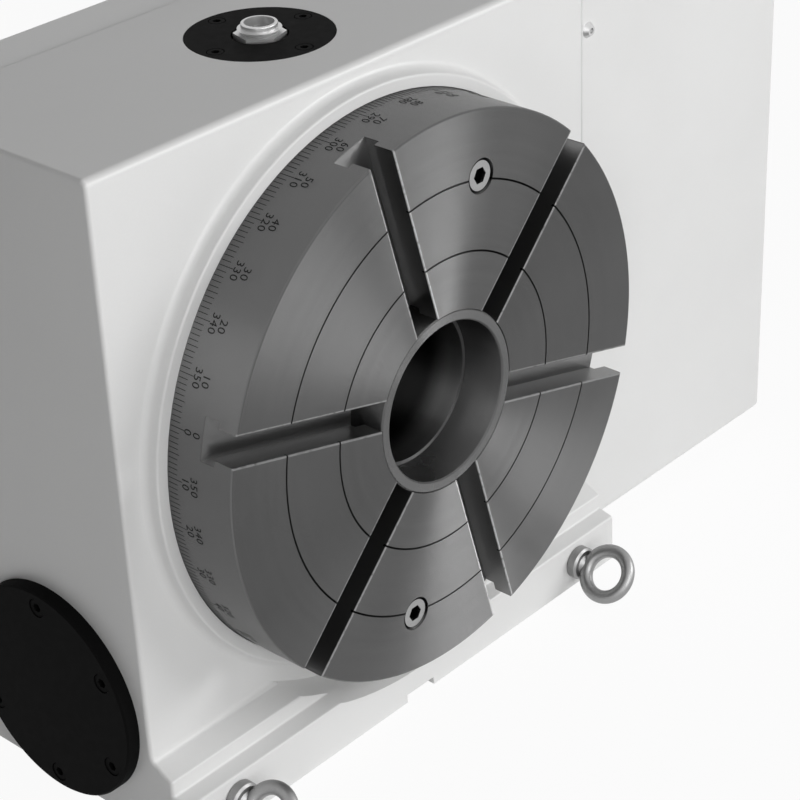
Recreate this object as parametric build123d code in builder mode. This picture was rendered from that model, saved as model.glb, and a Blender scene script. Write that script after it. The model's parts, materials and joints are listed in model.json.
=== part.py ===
from build123d import *
import os
from math import atan2, cos, degrees, pi, radians, sin, tan

os.makedirs("parts", exist_ok=True)

# Upright CNC rotary table, all sizes in millimetres.
# The origin lies on the spindle axis at the front face of the platter.
# +X is to the right, +Y runs into the table, +Z is up.

# Clearances; cut_over is how far a cut or a joined boss runs past its face
seat_gap = 0.03
run_gap = 0.4
face_gap = 0.4
lip_gap = 0.1
slide_gap = 0.05
pocket_gap = 0.3
cut_over = 1.0

# Socket screws: a head is one and a half threads plus head_margin wide,
# and as high as the thread unless it is low
head_margin = 1.0
head_room = 0.5
socket_share = 0.8
socket_depth_share = 0.6
tip_room = 2.0

# Platter, with radial tee slots and a ground bush in its bore
platter_r = 155.0
platter_t = 48.0
platter_edge = 0.8
centre_bore_r = 44.0
centre_bush_r = 50.0
centre_bush_len = 26.0
bush_edge = 0.8
slot_count = 6
slot_neck = 16.0
slot_neck_depth = 12.0
slot_tee = 23.0
slot_tee_depth = 9.6
slot_edge = 0.4
zero_angle = 165.24
scribed_radii = (80.7, 118.1)
scribe_w = 1.0
scribe_depth = 0.6
platter_screw_circle = 119.8
platter_screw_d = 10.0
platter_screw_len = 32.0
platter_counterbore_d = 19.0
platter_screw_sink = 0.8

# Spindle, from its nose to its tail
spindle_bore_r = 42.0
spindle_flange_r = 131.0
spindle_flange_t = 14.0
seal_land_r = 92.0
bearing_seat_r = 80.0
drive_seat_r = 70.0
rear_seat_r = 65.0
tail_r = 62.0
tail_back = 230.0
tail_edge = 2.0
spindle_nut_w = 10.0
spindle_notch_w = 10.0
spindle_notch_depth = 4.0

# Front crossed-roller bearing
front_bearing_y = 58.0
front_bearing_w = 28.0
front_bearing_r = 115.0
front_roller_r = 6.0
front_roller_count = 24
front_roller_play = 0.15
roller_end_gap = 0.2
race_split = 1.5
race_step = 3.0
seal_float = 0.5
clamp_ring_t = 5.0
clamp_ring_r = 130.0
clamp_screw_d = 6.0
clamp_screw_len = 18.0
clamp_screw_count = 8

# Worm gear
gear_y = 121.0
worm_drop = 134.0
worm_pitch_r = 26.0
wheel_teeth = 72
wheel_w = 30.0
wheel_bore_r = 84.0
worm_len = 68.0
worm_thread_share = 0.38
pressure_angle = 20.0
hub_flange_r = 98.0
hub_flange_t = 13.0
wheel_edge = 1.5
wheel_screw_circle = 92.0
wheel_screw_count = 8
wheel_screw_d = 8.0
wheel_screw_len = 28.0
wheel_head_depth = 9.0

# Worm shaft, its bearings and its covers
worm_shaft_r = 19.5
worm_seat_r = 17.5
worm_bearing_r = 36.0
worm_bearing_w = 18.0
worm_bearing_inset = 38.0
worm_roller_r = 4.6
worm_roller_count = 10
worm_roller_gap = 2.0
worm_shoulder_h = 2.0
worm_shoulder_w = 6.0
worm_relief = 6.0
worm_tail = 12.0
worm_tail_edge = 1.0
worm_nut_r = 26.5
worm_nut_w = 10.0
worm_notch_w = 6.0
worm_notch_depth = 2.5
worm_boss_r = 50.0
worm_boss_len = 28.0
worm_cover_r = 62.0
worm_cover_t = 8.0
worm_cover_edge = 1.0
worm_cover_web = 3.0
worm_cover_screw_circle = 53.0
worm_cover_screw_count = 6
worm_cover_turn = 30.0
worm_cover_screw_d = 6.0
worm_cover_screw_len = 16.0
worm_cover_head_h = 4.5
worm_seal_r = 26.0
worm_seal_w = 8.0
worm_seal_inset = 6.0
pulley_seat_r = 15.0
pulley_seat_reach = 4.0
shaft_end_gap = 6.0

# Main casting
body_half_w = 178.0
body_front = 52.0
body_back = 194.0
body_top = 173.5
base_room = 52.0
side_wall = 18.0
front_wall = 34.0
back_wall = 14.0
floor_t = 18.0
edge_round = 4.5
side_round = 2.2
side_edge = 0.8
hollow_round = 12.0
boss_front = 43.5
boss_r = 162.0
boss_round = 1.6
boss_draft = 2.2
boss_sweep = 6.0
boss_root = 0.3
seal_bore_r = 108.0
platter_recess_depth = 6.5

# Foot flange, front and back
flange_reach = 24.5
flange_h = 29.5
shelf_reach = 14.0
shelf_top = 41.0
shelf_foot = 32.0
slope_top = 48.0
flange_draft = 0.5
foot_round = 1.8
slope_round = 5.0
scallop_front_r = 181.0
scallop_back_r = 175.0
key_slot_w = 22.0
key_slot_depth = 5.0

# Lifting eyes in the front flange
eye_inset = 35.8
eye_height = 15.7
eye_wire_r = 4.0
eye_ring_r = 14.0
eye_reach = 22.5
eye_collar_r = 10.0
eye_collar_t = 6.0
eye_collar_edge = 1.2
eye_neck_r = 7.5
eye_neck_top_r = 3.2
eye_tilt = 40.0
eye_thread_d = 8.0
eye_thread_len = 13.0

# Top plate over the brake oil inlet
top_plate_y = 120.0
top_plate_r = 39.0
top_plate_t = 8.0
top_plate_hole_r = 15.0
top_screw_circle = 31.5
top_screw_count = 4
top_screw_d = 5.0
top_screw_len = 11.0
top_screw_head_h = 4.0
plug_hex = 24.0
plug_hex_h = 6.5
plug_turn = 15.0
plug_crown_edge = 0.4
plug_crown_h = 2.4
plug_crown_reach = 2.2
plug_crown_angle = 42.0
plug_rim_r = 9.6
plug_rim_h = 3.0
plug_rim_round = 0.6
plug_bore_r = 7.9
plug_bore_depth = 7.0
plug_lens_t = 2.0
plug_thread_r = 9.0
plug_seat_depth = 3.0

# Brake on the spindle
brake_disc_r = 98.0
brake_disc_t = 5.0
brake_disc_y = 148.0
disc_screw_inset = 7.0
disc_screw_count = 6
disc_screw_d = 5.0
disc_screw_len = 14.0
disc_screw_head_h = 3.0
brake_piston_in = 86.0
brake_piston_out = 97.0
brake_piston_len = 12.0
brake_gap = 0.9
brake_oil_gap = 3.0
brake_ring_in = 100.0
brake_ring_r = 110.0
brake_ring_web = 7.0
brake_lip_t = 4.6
brake_screw_d = 4.0
brake_screw_len = 18.0
brake_screw_count = 8

# Rear bearing carrier and rear cover
carrier_hub_w = 12.0
carrier_spigot_w = 10.0
carrier_flange_w = 14.0
carrier_flange_t = 8.0
carrier_front = 156.0
carrier_web = 2.0
race_clear = 1.0
carrier_screw_d = 8.0
carrier_screw_len = 20.0
carrier_screw_count = 8
retainer_t = 5.0
retainer_lip_gap = 2.0
retainer_screw_d = 5.0
retainer_screw_len = 16.0
retainer_screw_count = 6
rear_bearing_y = 172.0
rear_bearing_w = 20.0
rear_bearing_r = 100.0
rear_roller_r = 5.0
rear_roller_count = 18
rear_roller_gap = 3.0
rear_cover_depth = 38.0
rear_cover_inset = 4.0
rear_cover_drop = 3.0
rear_cover_room = 2.0
rear_cover_wall = 9.0
rear_cover_corner = 12.0
rear_cover_inner_corner = 6.0
rear_cover_round = 4.0
rear_boss_r = 10.0
rear_head_depth = 6.0
rear_screw_d = 6.0
rear_screw_grip = 4.0
rear_screw_head_h = 5.0
rear_seal_r = 76.0
rear_seal_inset = 1.0

# Motor housing on the right, with the belt drive inside
motor_box_low = 12.0
motor_box_drop = 2.0
motor_box_wall = 6.0
motor_box_room = 6.0
motor_box_round = 4.0
motor_box_edge = 0.6
cover_rim_w = 12.0
cover_rim_t = 5.0
cover_rim_round = 2.0
cover_screw_z = 134.8
cover_screw_x = 5.6
button_r = 4.6
button_h = 2.6
button_crown_share = 0.6
button_screw_d = 5.0
button_screw_len = 12.0
button_socket = 3.0
button_socket_depth = 1.6
belt_centres = 150.0
driven_teeth = 40
drive_teeth = 20
belt_pitch = 5.0
belt_pitch_drop = 0.6
belt_w = 20.0
belt_reach = 18.0
belt_t = 3.0
groove_w = 3.4
groove_depth = 1.1
pulley_margin = 1.0
pulley_flange_h = 2.0
pulley_flange_t = 1.5
bracket_reach = 40.0
bracket_t = 10.0
bracket_round = 6.0
bracket_screw_d = 6.0
bracket_screw_len = 22.0
bracket_half_w = 62.0
bracket_half_h = 78.0
post_r = 8.0
post_y = 44.0
post_z = 68.0
post_thread_d = 8.0
post_thread_len = 12.0
motor_half = 55.0
motor_round = 6.0
motor_flange_t = 12.0
motor_frame_step = 4.0
motor_frame_corner = 20.0
motor_end_wall = 10.0
motor_len = 112.0
motor_screw_inset = 9.0
motor_screw_d = 8.0
motor_screw_len = 20.0
motor_shaft_r = 9.5
motor_shaft_front = 4.0
rotor_r = 28.0
rotor_gap = 1.0
rotor_end_gap = 2.0
rotor_len = 70.0
encoder_r = 42.0
encoder_round = 4.0
encoder_len = 18.0
gland_z = 120.0
gland_reach = 132.0
gland_hex = 26.0
gland_hex_t = 6.0
gland_cap_r = 11.0
gland_cap_len = 14.0
gland_cap_round = 3.0
gland_thread_r = 8.0
gland_tail = 6.0
gland_bore_r = 5.0

# Places worked out from the sizes above
worm_z = -worm_drop
carrier_hub_r = rear_bearing_r + carrier_hub_w
carrier_spigot_r = carrier_hub_r + carrier_spigot_w
carrier_flange_r = carrier_spigot_r + carrier_flange_w
rear_cover_bottom = -(carrier_flange_r + rear_cover_room + rear_cover_wall)
base_z = rear_cover_bottom - base_room
motor_z = worm_z + belt_centres
recess_floor = boss_front + platter_recess_depth
flange_y = platter_t - spindle_flange_t
tee_floor = slot_neck_depth + slot_tee_depth
front_inner = body_front + front_wall
back_inner = body_back - back_wall
wall_x = body_half_w - side_wall
eye_x = body_half_w - eye_inset
worm_bearing_x = body_half_w - worm_bearing_inset
belt_x = body_half_w + belt_reach
bracket_x = body_half_w + bracket_reach
gland_x = body_half_w + gland_reach
motor_box_len = bracket_reach + bracket_t + motor_len + encoder_len + motor_box_room + motor_box_wall
carrier_back = body_back + carrier_flange_t
wheel_pitch_r = worm_drop - worm_pitch_r
module = 2 * wheel_pitch_r / wheel_teeth
wheel_tip_r = wheel_pitch_r + module
wheel_root_r = wheel_pitch_r - 1.2 * module
worm_root_r = worm_pitch_r - 1.2 * module
axial_pitch = pi * module
lead_angle = degrees(atan2(axial_pitch, 2 * pi * worm_pitch_r))
front_bearing_back = front_bearing_y + front_bearing_w
clamp_circle = 0.5 * (front_bearing_r + clamp_ring_r)
wheel_front = gear_y - wheel_w / 2
wheel_back = gear_y + wheel_w / 2
hub_front = front_bearing_back
hub_step = wheel_front - hub_flange_t
rear_back = body_back + rear_cover_depth
rear_roller_circle = 0.5 * (rear_seat_r + rear_bearing_r)
rear_race_in = rear_roller_circle - rear_roller_r - front_roller_play
rear_race_out = rear_roller_circle + rear_roller_r + front_roller_play
rear_bearing_back = rear_bearing_y + rear_bearing_w
box_front = body_front
box_back = body_back
box_low = base_z + motor_box_low
box_top = body_top - motor_box_drop
box_deep = box_back - box_front
box_high = box_top - box_low


def front_plane(y, x=0.0, z=0.0):
    """Plane that faces the front (-Y), with X across and Z up."""
    return Plane(origin=(x, y, z), x_dir=(1, 0, 0), z_dir=(0, -1, 0))


def back_plane(y, x=0.0, z=0.0):
    """Plane that faces the back (+Y), with Z up."""
    return Plane(origin=(x, y, z), x_dir=(-1, 0, 0), z_dir=(0, 1, 0))


def right_plane(x, y=0.0, z=0.0):
    """Plane that faces right (+X), with Y across and Z up."""
    return Plane(origin=(x, y, z), x_dir=(0, 1, 0), z_dir=(1, 0, 0))


def left_plane(x, y=0.0, z=0.0):
    """Plane that faces left (-X), with Z up."""
    return Plane(origin=(x, y, z), x_dir=(0, -1, 0), z_dir=(-1, 0, 0))


def around(plane, radius, count, start=0.0):
    """Copies of a plane spaced evenly on a circle about its origin."""
    copies = []
    for index in range(count):
        angle = radians(start + 360.0 / count * index)
        shift = plane.x_dir * (radius * cos(angle)) + plane.y_dir * (radius * sin(angle))
        copies.append(Plane(origin=plane.origin + shift, x_dir=plane.x_dir, z_dir=plane.z_dir))
    return copies


def outline(points, plane=Plane.XY):
    """Closed straight-sided face through the points, on the plane."""
    with BuildSketch(plane) as face:
        with BuildLine():
            Polyline(*points, close=True)
        make_face()
    return face.sketch


def washer(outer_r, inner_r, front, back):
    """Half section of a plain ring about the spindle, for a revolve about Y."""
    return outline([(inner_r, front), (outer_r, front), (outer_r, back), (inner_r, back)])


def head_r(size):
    """Radius of a socket screw's head for its thread."""
    return (1.5 * size + head_margin) / 2


def bore(seats, radius, amount):
    """Cut round holes into the part being built: inwards from the seats where amount is negative."""
    with BuildSketch(*seats) as holes:
        Circle(radius)
    extrude(holes.sketch, amount=amount, mode=Mode.SUBTRACT)


def screw_holes(seats, size, through, head_depth=0.0):
    """Clearance holes that run inwards from the seats, with counterbores outwards for heads that sink."""
    bore(seats, size / 2 + run_gap, -through)
    if head_depth > 0:
        bore(seats, head_r(size) + head_room, head_depth)


def save(piece, label):
    """Name a finished piece and write it out."""
    piece.part.label = label
    export_step(piece.part, f"parts/{label}.step")


def cap_screws(label, seats, size, length, low_head=0.0):
    """Socket-head screws whose heads rest on the seats and whose shanks run back into them."""
    head_h = low_head or size
    with BuildPart() as screws:
        with BuildSketch(*seats):
            Circle(head_r(size))
        extrude(amount=head_h)
        with BuildSketch(*seats):
            Circle(size / 2 - seat_gap)
        extrude(amount=-length)
        with BuildSketch(*[seat.offset(head_h) for seat in seats]):
            RegularPolygon(socket_share * size / 2, 6, major_radius=False)
        extrude(amount=-socket_depth_share * head_h, mode=Mode.SUBTRACT)
    save(screws, label)


# Places of the screws
half_pitch = 22.5
clamp_back = front_bearing_back + clamp_ring_t
disc_back = brake_disc_y + brake_disc_t
retainer_back = carrier_back + retainer_t
disc_screw_circle = drive_seat_r + disc_screw_inset
brake_screw_circle = 0.5 * (brake_ring_in + brake_ring_r)
carrier_screw_circle = 0.5 * (carrier_spigot_r + carrier_flange_r)
retainer_screw_circle = 0.5 * (rear_bearing_r + carrier_hub_r)
platter_counterbore_depth = platter_screw_d + platter_screw_sink
platter_screw_seats = around(front_plane(platter_counterbore_depth), platter_screw_circle, 2, zero_angle - 90)
wheel_screw_seats = around(back_plane(wheel_back - wheel_head_depth), wheel_screw_circle, wheel_screw_count)
clamp_screw_seats = around(back_plane(clamp_back), clamp_circle, clamp_screw_count, half_pitch)
disc_screw_seats = around(back_plane(disc_back), disc_screw_circle, disc_screw_count)
brake_seat = front_plane(carrier_front - brake_ring_web)
brake_ring_seats = around(brake_seat, brake_screw_circle, brake_screw_count, half_pitch)
carrier_screw_seats = around(back_plane(carrier_back), carrier_screw_circle, carrier_screw_count, half_pitch)
retainer_seats = around(back_plane(retainer_back), retainer_screw_circle, retainer_screw_count)
worm_cover_seat = left_plane(-body_half_w - worm_cover_web, gear_y, worm_z)
worm_cover_seats = around(worm_cover_seat, worm_cover_screw_circle, worm_cover_screw_count, worm_cover_turn)
top_centre = Plane(origin=(0, top_plate_y, body_top))
top_plate_seats = around(top_centre.offset(-top_screw_head_h), top_screw_circle, top_screw_count)

cover_screw_places = [(body_half_w + cover_screw_x, side * cover_screw_z) for side in (-1, 1)]
front_cover_seats = [front_plane(body_front, x, z) for x, z in cover_screw_places]
back_cover_seats = [back_plane(body_back, x, z) for x, z in cover_screw_places]
eye_seats = [front_plane(body_front - flange_reach, side * eye_x, base_z + eye_height) for side in (-1, 1)]
post_places = [(gear_y + side * post_y, motor_z + up * post_z) for side in (-1, 1) for up in (-1, 1)]
post_seats = [right_plane(body_half_w, y, z) for y, z in post_places]
bracket_screw_seats = [right_plane(bracket_x + bracket_t, y, z) for y, z in post_places]
gland_seat = back_plane(body_back, gland_x, gland_z)
box_middle = right_plane(body_half_w, 0.5 * (box_front + box_back), 0.5 * (box_low + box_top))
rear_screw_len = rear_cover_depth + rear_screw_grip
rear_cover_top = body_top - rear_cover_drop
rear_cover_mid = 0.5 * (rear_cover_bottom + rear_cover_top)
rear_screw_x = body_half_w - rear_cover_inset - rear_boss_r
rear_screw_z = (rear_cover_bottom + rear_boss_r, rear_cover_mid, rear_cover_top - rear_boss_r)
rear_cover_seats = [
    back_plane(rear_back - rear_head_depth, side * rear_screw_x, z) for side in (-1, 1) for z in rear_screw_z
]


# Platter: a thick disc with six radial tee slots, two scribed circles and two counterbored holes
def slot_section(plane):
    """Section of one tee slot, square to its run, with the mouth's edges broken."""
    half_neck = slot_neck / 2
    half_tee = slot_tee / 2
    half = [
        (-cut_over, half_neck + slot_edge),
        (0, half_neck + slot_edge),
        (slot_edge, half_neck),
        (slot_neck_depth, half_neck),
        (slot_neck_depth, half_tee),
        (tee_floor, half_tee),
    ]
    return outline(half + [(depth, -width) for depth, width in reversed(half)], plane)


with BuildPart() as platter:
    disc = [
        (centre_bush_r + seat_gap, 0),
        (platter_r - platter_edge, 0),
        (platter_r, platter_edge),
        (platter_r, platter_t),
        (spindle_flange_r + seat_gap, platter_t),
        (spindle_flange_r + seat_gap, flange_y),
        (centre_bush_r + seat_gap, flange_y),
    ]
    revolve(outline(disc), axis=Axis.Y)
    for index in range(slot_count):
        angle = radians(zero_angle + 360 / slot_count * index)
        radial = Plane(origin=(0, 0, 0), x_dir=(0, 1, 0), z_dir=(cos(angle), 0, sin(angle)))
        extrude(slot_section(radial), amount=platter_r + cut_over, mode=Mode.SUBTRACT)
    for radius in scribed_radii:
        groove = washer(radius + scribe_w / 2, radius - scribe_w / 2, -cut_over, scribe_depth)
        revolve(groove, axis=Axis.Y, mode=Mode.SUBTRACT)
    bore(platter_screw_seats, platter_counterbore_d / 2, platter_counterbore_depth + cut_over)
    screw_holes(platter_screw_seats, platter_screw_d, platter_t)
save(platter, "platter")

# Ground bush that lines the platter's bore
with BuildPart() as centre_bush:
    bush = [
        (centre_bore_r + bush_edge, 0),
        (centre_bush_r - bush_edge, 0),
        (centre_bush_r, bush_edge),
        (centre_bush_r, centre_bush_len),
        (centre_bore_r, centre_bush_len),
        (centre_bore_r, bush_edge),
    ]
    revolve(outline(bush), axis=Axis.Y)
save(centre_bush, "centre_bush")

cap_screws("platter_screws", platter_screw_seats, platter_screw_d, platter_screw_len)

# Spindle: hollow, stepped down towards its tail
with BuildPart() as spindle:
    steps = [
        (spindle_bore_r, centre_bush_len),
        (centre_bush_r, centre_bush_len),
        (centre_bush_r, flange_y),
        (spindle_flange_r, flange_y),
        (spindle_flange_r, platter_t),
        (seal_land_r, platter_t),
        (seal_land_r, front_bearing_y),
        (bearing_seat_r, front_bearing_y),
        (bearing_seat_r, front_bearing_back),
        (drive_seat_r, front_bearing_back),
        (drive_seat_r, rear_bearing_y),
        (rear_seat_r, rear_bearing_y),
        (rear_seat_r, rear_bearing_back),
        (tail_r, rear_bearing_back),
        (tail_r, tail_back - tail_edge),
        (tail_r - tail_edge, tail_back),
        (spindle_bore_r, tail_back),
    ]
    revolve(outline(steps), axis=Axis.Y)
    bore(platter_screw_seats, platter_screw_d / 2, -platter_t)
save(spindle, "spindle")


# Front bearing: rollers crossed at 45 degrees between two rings with vee races
roller_circle = 0.5 * (bearing_seat_r + front_bearing_r)
race_half = front_roller_r * 2 ** 0.5 + front_roller_play
front_bearing_mid = front_bearing_y + front_bearing_w / 2


def vee_ring(seat_r, race_r, tip_r):
    """Half section of a bearing ring with a vee race that reaches tip_r, open at race_r."""
    half_open = race_half - abs(roller_circle - race_r)
    return outline(
        [
            (seat_r, front_bearing_y),
            (race_r, front_bearing_y),
            (race_r, front_bearing_mid - half_open),
            (tip_r, front_bearing_mid),
            (race_r, front_bearing_mid + half_open),
            (race_r, front_bearing_back),
            (seat_r, front_bearing_back),
        ]
    )


with BuildPart() as front_bearing_inner:
    race = vee_ring(bearing_seat_r + seat_gap, roller_circle - race_split, roller_circle - race_half)
    revolve(race, axis=Axis.Y)
save(front_bearing_inner, "front_bearing_inner")

with BuildPart() as front_bearing_outer:
    race = vee_ring(front_bearing_r, roller_circle + race_split, roller_circle + race_half)
    revolve(race, axis=Axis.Y)
save(front_bearing_outer, "front_bearing_outer")

with BuildPart() as front_bearing_rollers:
    for index in range(front_roller_count):
        angle = 2 * pi * index / front_roller_count
        lean = 1 if index % 2 == 0 else -1
        outward = Vector(cos(angle), 0, sin(angle))
        middle = outward * roller_circle + Vector(0, front_bearing_mid, 0)
        roller_axis = (outward + Vector(0, lean, 0)).normalized()
        with BuildSketch(Plane(origin=middle, z_dir=roller_axis)):
            Circle(front_roller_r)
        extrude(amount=front_roller_r - roller_end_gap, both=True)
save(front_bearing_rollers, "front_bearing_rollers")

with BuildPart() as bearing_clamp_ring:
    revolve(washer(clamp_ring_r, roller_circle + race_step, front_bearing_back, clamp_back), axis=Axis.Y)
    screw_holes(clamp_screw_seats, clamp_screw_d, clamp_ring_t)
save(bearing_clamp_ring, "bearing_clamp_ring")
cap_screws("clamp_ring_screws", clamp_screw_seats, clamp_screw_d, clamp_screw_len)

with BuildPart() as spindle_seal:
    seal_front = recess_floor + seal_float
    seal_back = front_bearing_y - seal_float
    revolve(washer(seal_bore_r - seat_gap, seal_land_r + lip_gap, seal_front, seal_back), axis=Axis.Y)
save(spindle_seal, "spindle_seal")

# Hub that carries the worm wheel on the spindle
with BuildPart() as wheel_hub:
    hub = [
        (drive_seat_r + seat_gap, hub_front),
        (roller_circle - race_step, hub_front),
        (roller_circle - race_step, hub_step),
        (hub_flange_r, hub_step),
        (hub_flange_r, wheel_front),
        (wheel_bore_r - seat_gap, wheel_front),
        (wheel_bore_r - seat_gap, brake_disc_y),
        (drive_seat_r + seat_gap, brake_disc_y),
    ]
    revolve(outline(hub), axis=Axis.Y)
    bore(wheel_screw_seats, wheel_screw_d / 2, -wheel_screw_len - tip_room)
    bore(disc_screw_seats, disc_screw_d / 2, -disc_screw_len - tip_room)
save(wheel_hub, "wheel_hub")

# Worm wheel: each tooth space is a trapezoid tilted by the lead angle of the worm
flank = tan(radians(pressure_angle))
half_space = axial_pitch / 4


def tooth_space(angle):
    """Trapezoid of one tooth space, square to the tooth, on a plane through the rim's middle."""
    turn = radians(angle)
    outward = Vector(cos(turn), 0, sin(turn))
    tangent = Vector(-sin(turn), 0, cos(turn))
    tilt = radians(lead_angle)
    across = tangent * cos(tilt) + Vector(0, sin(tilt), 0)
    plane = Plane(origin=Vector(0, gear_y, 0), x_dir=across, z_dir=across.cross(outward))
    top = wheel_tip_r + cut_over
    bottom_half = half_space - flank * (wheel_pitch_r - wheel_root_r)
    top_half = half_space + flank * (top - wheel_pitch_r)
    corners = [(-bottom_half, wheel_root_r), (bottom_half, wheel_root_r), (top_half, top), (-top_half, top)]
    return outline(corners, plane)


with BuildPart() as worm_wheel:
    blank = [
        (wheel_bore_r, wheel_front),
        (wheel_tip_r - wheel_edge, wheel_front),
        (wheel_tip_r, wheel_front + wheel_edge),
        (wheel_tip_r, wheel_back - wheel_edge),
        (wheel_tip_r - wheel_edge, wheel_back),
        (wheel_bore_r, wheel_back),
    ]
    revolve(outline(blank), axis=Axis.Y)
    screw_holes(wheel_screw_seats, wheel_screw_d, wheel_w, wheel_head_depth)
    spaces = [tooth_space(-90 + 360 / wheel_teeth * index) for index in range(wheel_teeth)]
    extrude(Sketch() + spaces, amount=wheel_w, both=True, mode=Mode.SUBTRACT)
save(worm_wheel, "worm_wheel")
cap_screws("wheel_screws", wheel_screw_seats, wheel_screw_d, wheel_screw_len)

# Worm: a one-start right-hand thread on a stepped shaft that also carries the driven pulley
worm_frame = Plane(origin=(0, gear_y, worm_z), x_dir=(0, 0, 1), z_dir=(1, 0, 0))
worm_axis = Axis(origin=(0, gear_y, worm_z), direction=(1, 0, 0))
thread_turns = 4
thread_half = worm_thread_share * axial_pitch / 2

with BuildPart() as worm_thread:
    with BuildLine() as thread_path:
        Helix(pitch=axial_pitch, height=thread_turns * axial_pitch, radius=worm_pitch_r)
    start = thread_path.line @ 0
    with BuildSketch(Plane(origin=start, x_dir=(1, 0, 0), z_dir=thread_path.line % 0)):
        with BuildLine():
            inner = worm_root_r - worm_pitch_r - run_gap
            inner_half = thread_half - inner * flank
            tip_half = thread_half - module * flank
            tooth = [(inner, -inner_half), (module, -tip_half), (module, tip_half), (inner, inner_half)]
            Polyline(*tooth, close=True)
        make_face()
    sweep(is_frenet=True)

with BuildPart() as worm_shaft:
    half = worm_len / 2
    bearing_far = worm_bearing_x + worm_bearing_w
    tail = -bearing_far - worm_tail
    shoulder = worm_bearing_x - worm_shoulder_w
    shoulder_r = worm_shaft_r + worm_shoulder_h
    shaft_end = bracket_x - shaft_end_gap
    shaft = [
        (0, tail),
        (worm_seat_r - worm_tail_edge, tail),
        (worm_seat_r, tail + worm_tail_edge),
        (worm_seat_r, -worm_bearing_x),
        (shoulder_r, -worm_bearing_x),
        (shoulder_r, -shoulder),
        (worm_shaft_r, -shoulder),
        (worm_shaft_r, -half - worm_relief),
        (worm_root_r, -half),
        (worm_root_r, half),
        (worm_shaft_r, half + worm_relief),
        (worm_shaft_r, shoulder),
        (shoulder_r, shoulder),
        (shoulder_r, worm_bearing_x),
        (worm_seat_r, worm_bearing_x),
        (worm_seat_r, body_half_w + pulley_seat_reach),
        (pulley_seat_r, body_half_w + pulley_seat_reach),
        (pulley_seat_r, shaft_end),
        (0, shaft_end),
    ]
    shaft_section = Plane(origin=worm_frame.origin, x_dir=(0, 0, 1), z_dir=(0, -1, 0))
    revolve(outline([(radius, -along) for radius, along in shaft], shaft_section), axis=worm_axis)
    add(worm_thread.part.moved(worm_frame.offset(-thread_turns / 2 * axial_pitch).location))
save(worm_shaft, "worm_shaft")


def worm_ring(outer_r, inner_r, left, right):
    """A plain ring about the worm's axis, between two places along X."""
    with BuildPart() as ring:
        with BuildSketch(worm_frame.offset(left)):
            Circle(outer_r)
            if inner_r > 0:
                Circle(inner_r, mode=Mode.SUBTRACT)
        extrude(amount=right - left)
    return ring.part


def motor_ring(outer_r, inner_r, left, right):
    """A plain ring about the motor's axis, between two places along X."""
    return worm_ring(outer_r, inner_r, left, right).moved(Location((0, 0, belt_centres)))


# Worm bearings: one roller bearing at each end of the worm
worm_roller_circle = 0.5 * (worm_seat_r + worm_bearing_r)
worm_race_in = worm_roller_circle - worm_roller_r - front_roller_play
worm_race_out = worm_roller_circle + worm_roller_r + front_roller_play
worm_bearing_starts = (-bearing_far, worm_bearing_x)

with BuildPart() as worm_bearing_inner:
    for left in worm_bearing_starts:
        add(worm_ring(worm_race_in, worm_seat_r + seat_gap, left, left + worm_bearing_w))
save(worm_bearing_inner, "worm_bearing_inner")

with BuildPart() as worm_bearing_outer:
    for left in worm_bearing_starts:
        add(worm_ring(worm_bearing_r, worm_race_out, left, left + worm_bearing_w))
save(worm_bearing_outer, "worm_bearing_outer")

with BuildPart() as worm_bearing_rollers:
    for left in worm_bearing_starts:
        with BuildSketch(worm_frame.offset(left + worm_roller_gap)):
            with PolarLocations(worm_roller_circle, worm_roller_count):
                Circle(worm_roller_r)
        extrude(amount=worm_bearing_w - 2 * worm_roller_gap)
save(worm_bearing_rollers, "worm_bearing_rollers")

with BuildPart() as worm_nut:
    add(worm_ring(worm_nut_r, worm_seat_r + seat_gap, -bearing_far - worm_nut_w, -bearing_far))
    with BuildSketch(worm_frame.offset(-bearing_far - worm_nut_w)):
        with PolarLocations(worm_nut_r, 4):
            Rectangle(2 * worm_notch_depth, worm_notch_w)
    extrude(amount=worm_nut_w, mode=Mode.SUBTRACT)
save(worm_nut, "worm_nut")

with BuildPart() as worm_seal:
    seal_left = bearing_far + worm_seal_inset
    add(worm_ring(worm_seal_r - seat_gap, worm_seat_r + lip_gap, seal_left, seal_left + worm_seal_w))
save(worm_seal, "worm_seal")

with BuildPart() as worm_cover:
    with BuildSketch(left_plane(-body_half_w, gear_y, worm_z)):
        Circle(worm_cover_r)
    extrude(amount=worm_cover_t)
    chamfer(worm_cover.faces().sort_by(Axis.X)[0].edges(), worm_cover_edge)
    add(worm_ring(worm_bearing_r - seat_gap, worm_race_out + race_clear, -body_half_w, -bearing_far))
    screw_holes(worm_cover_seats, worm_cover_screw_d, worm_cover_t, worm_cover_t)
save(worm_cover, "worm_cover")
cap_screws("worm_cover_screws", worm_cover_seats, worm_cover_screw_d, worm_cover_screw_len, worm_cover_head_h)


# Main casting: one section through body, front flange and back flange, drawn along X
def foot_step(face, side):
    """Corners of a foot flange below one face, from the slope's top to the base."""
    return [
        (face, base_z + slope_top),
        (face + side * shelf_reach, base_z + shelf_top),
        (face + side * shelf_reach, base_z + shelf_foot),
        (face + side * (flange_reach - flange_draft), base_z + flange_h),
        (face + side * flange_reach, base_z),
    ]


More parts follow.
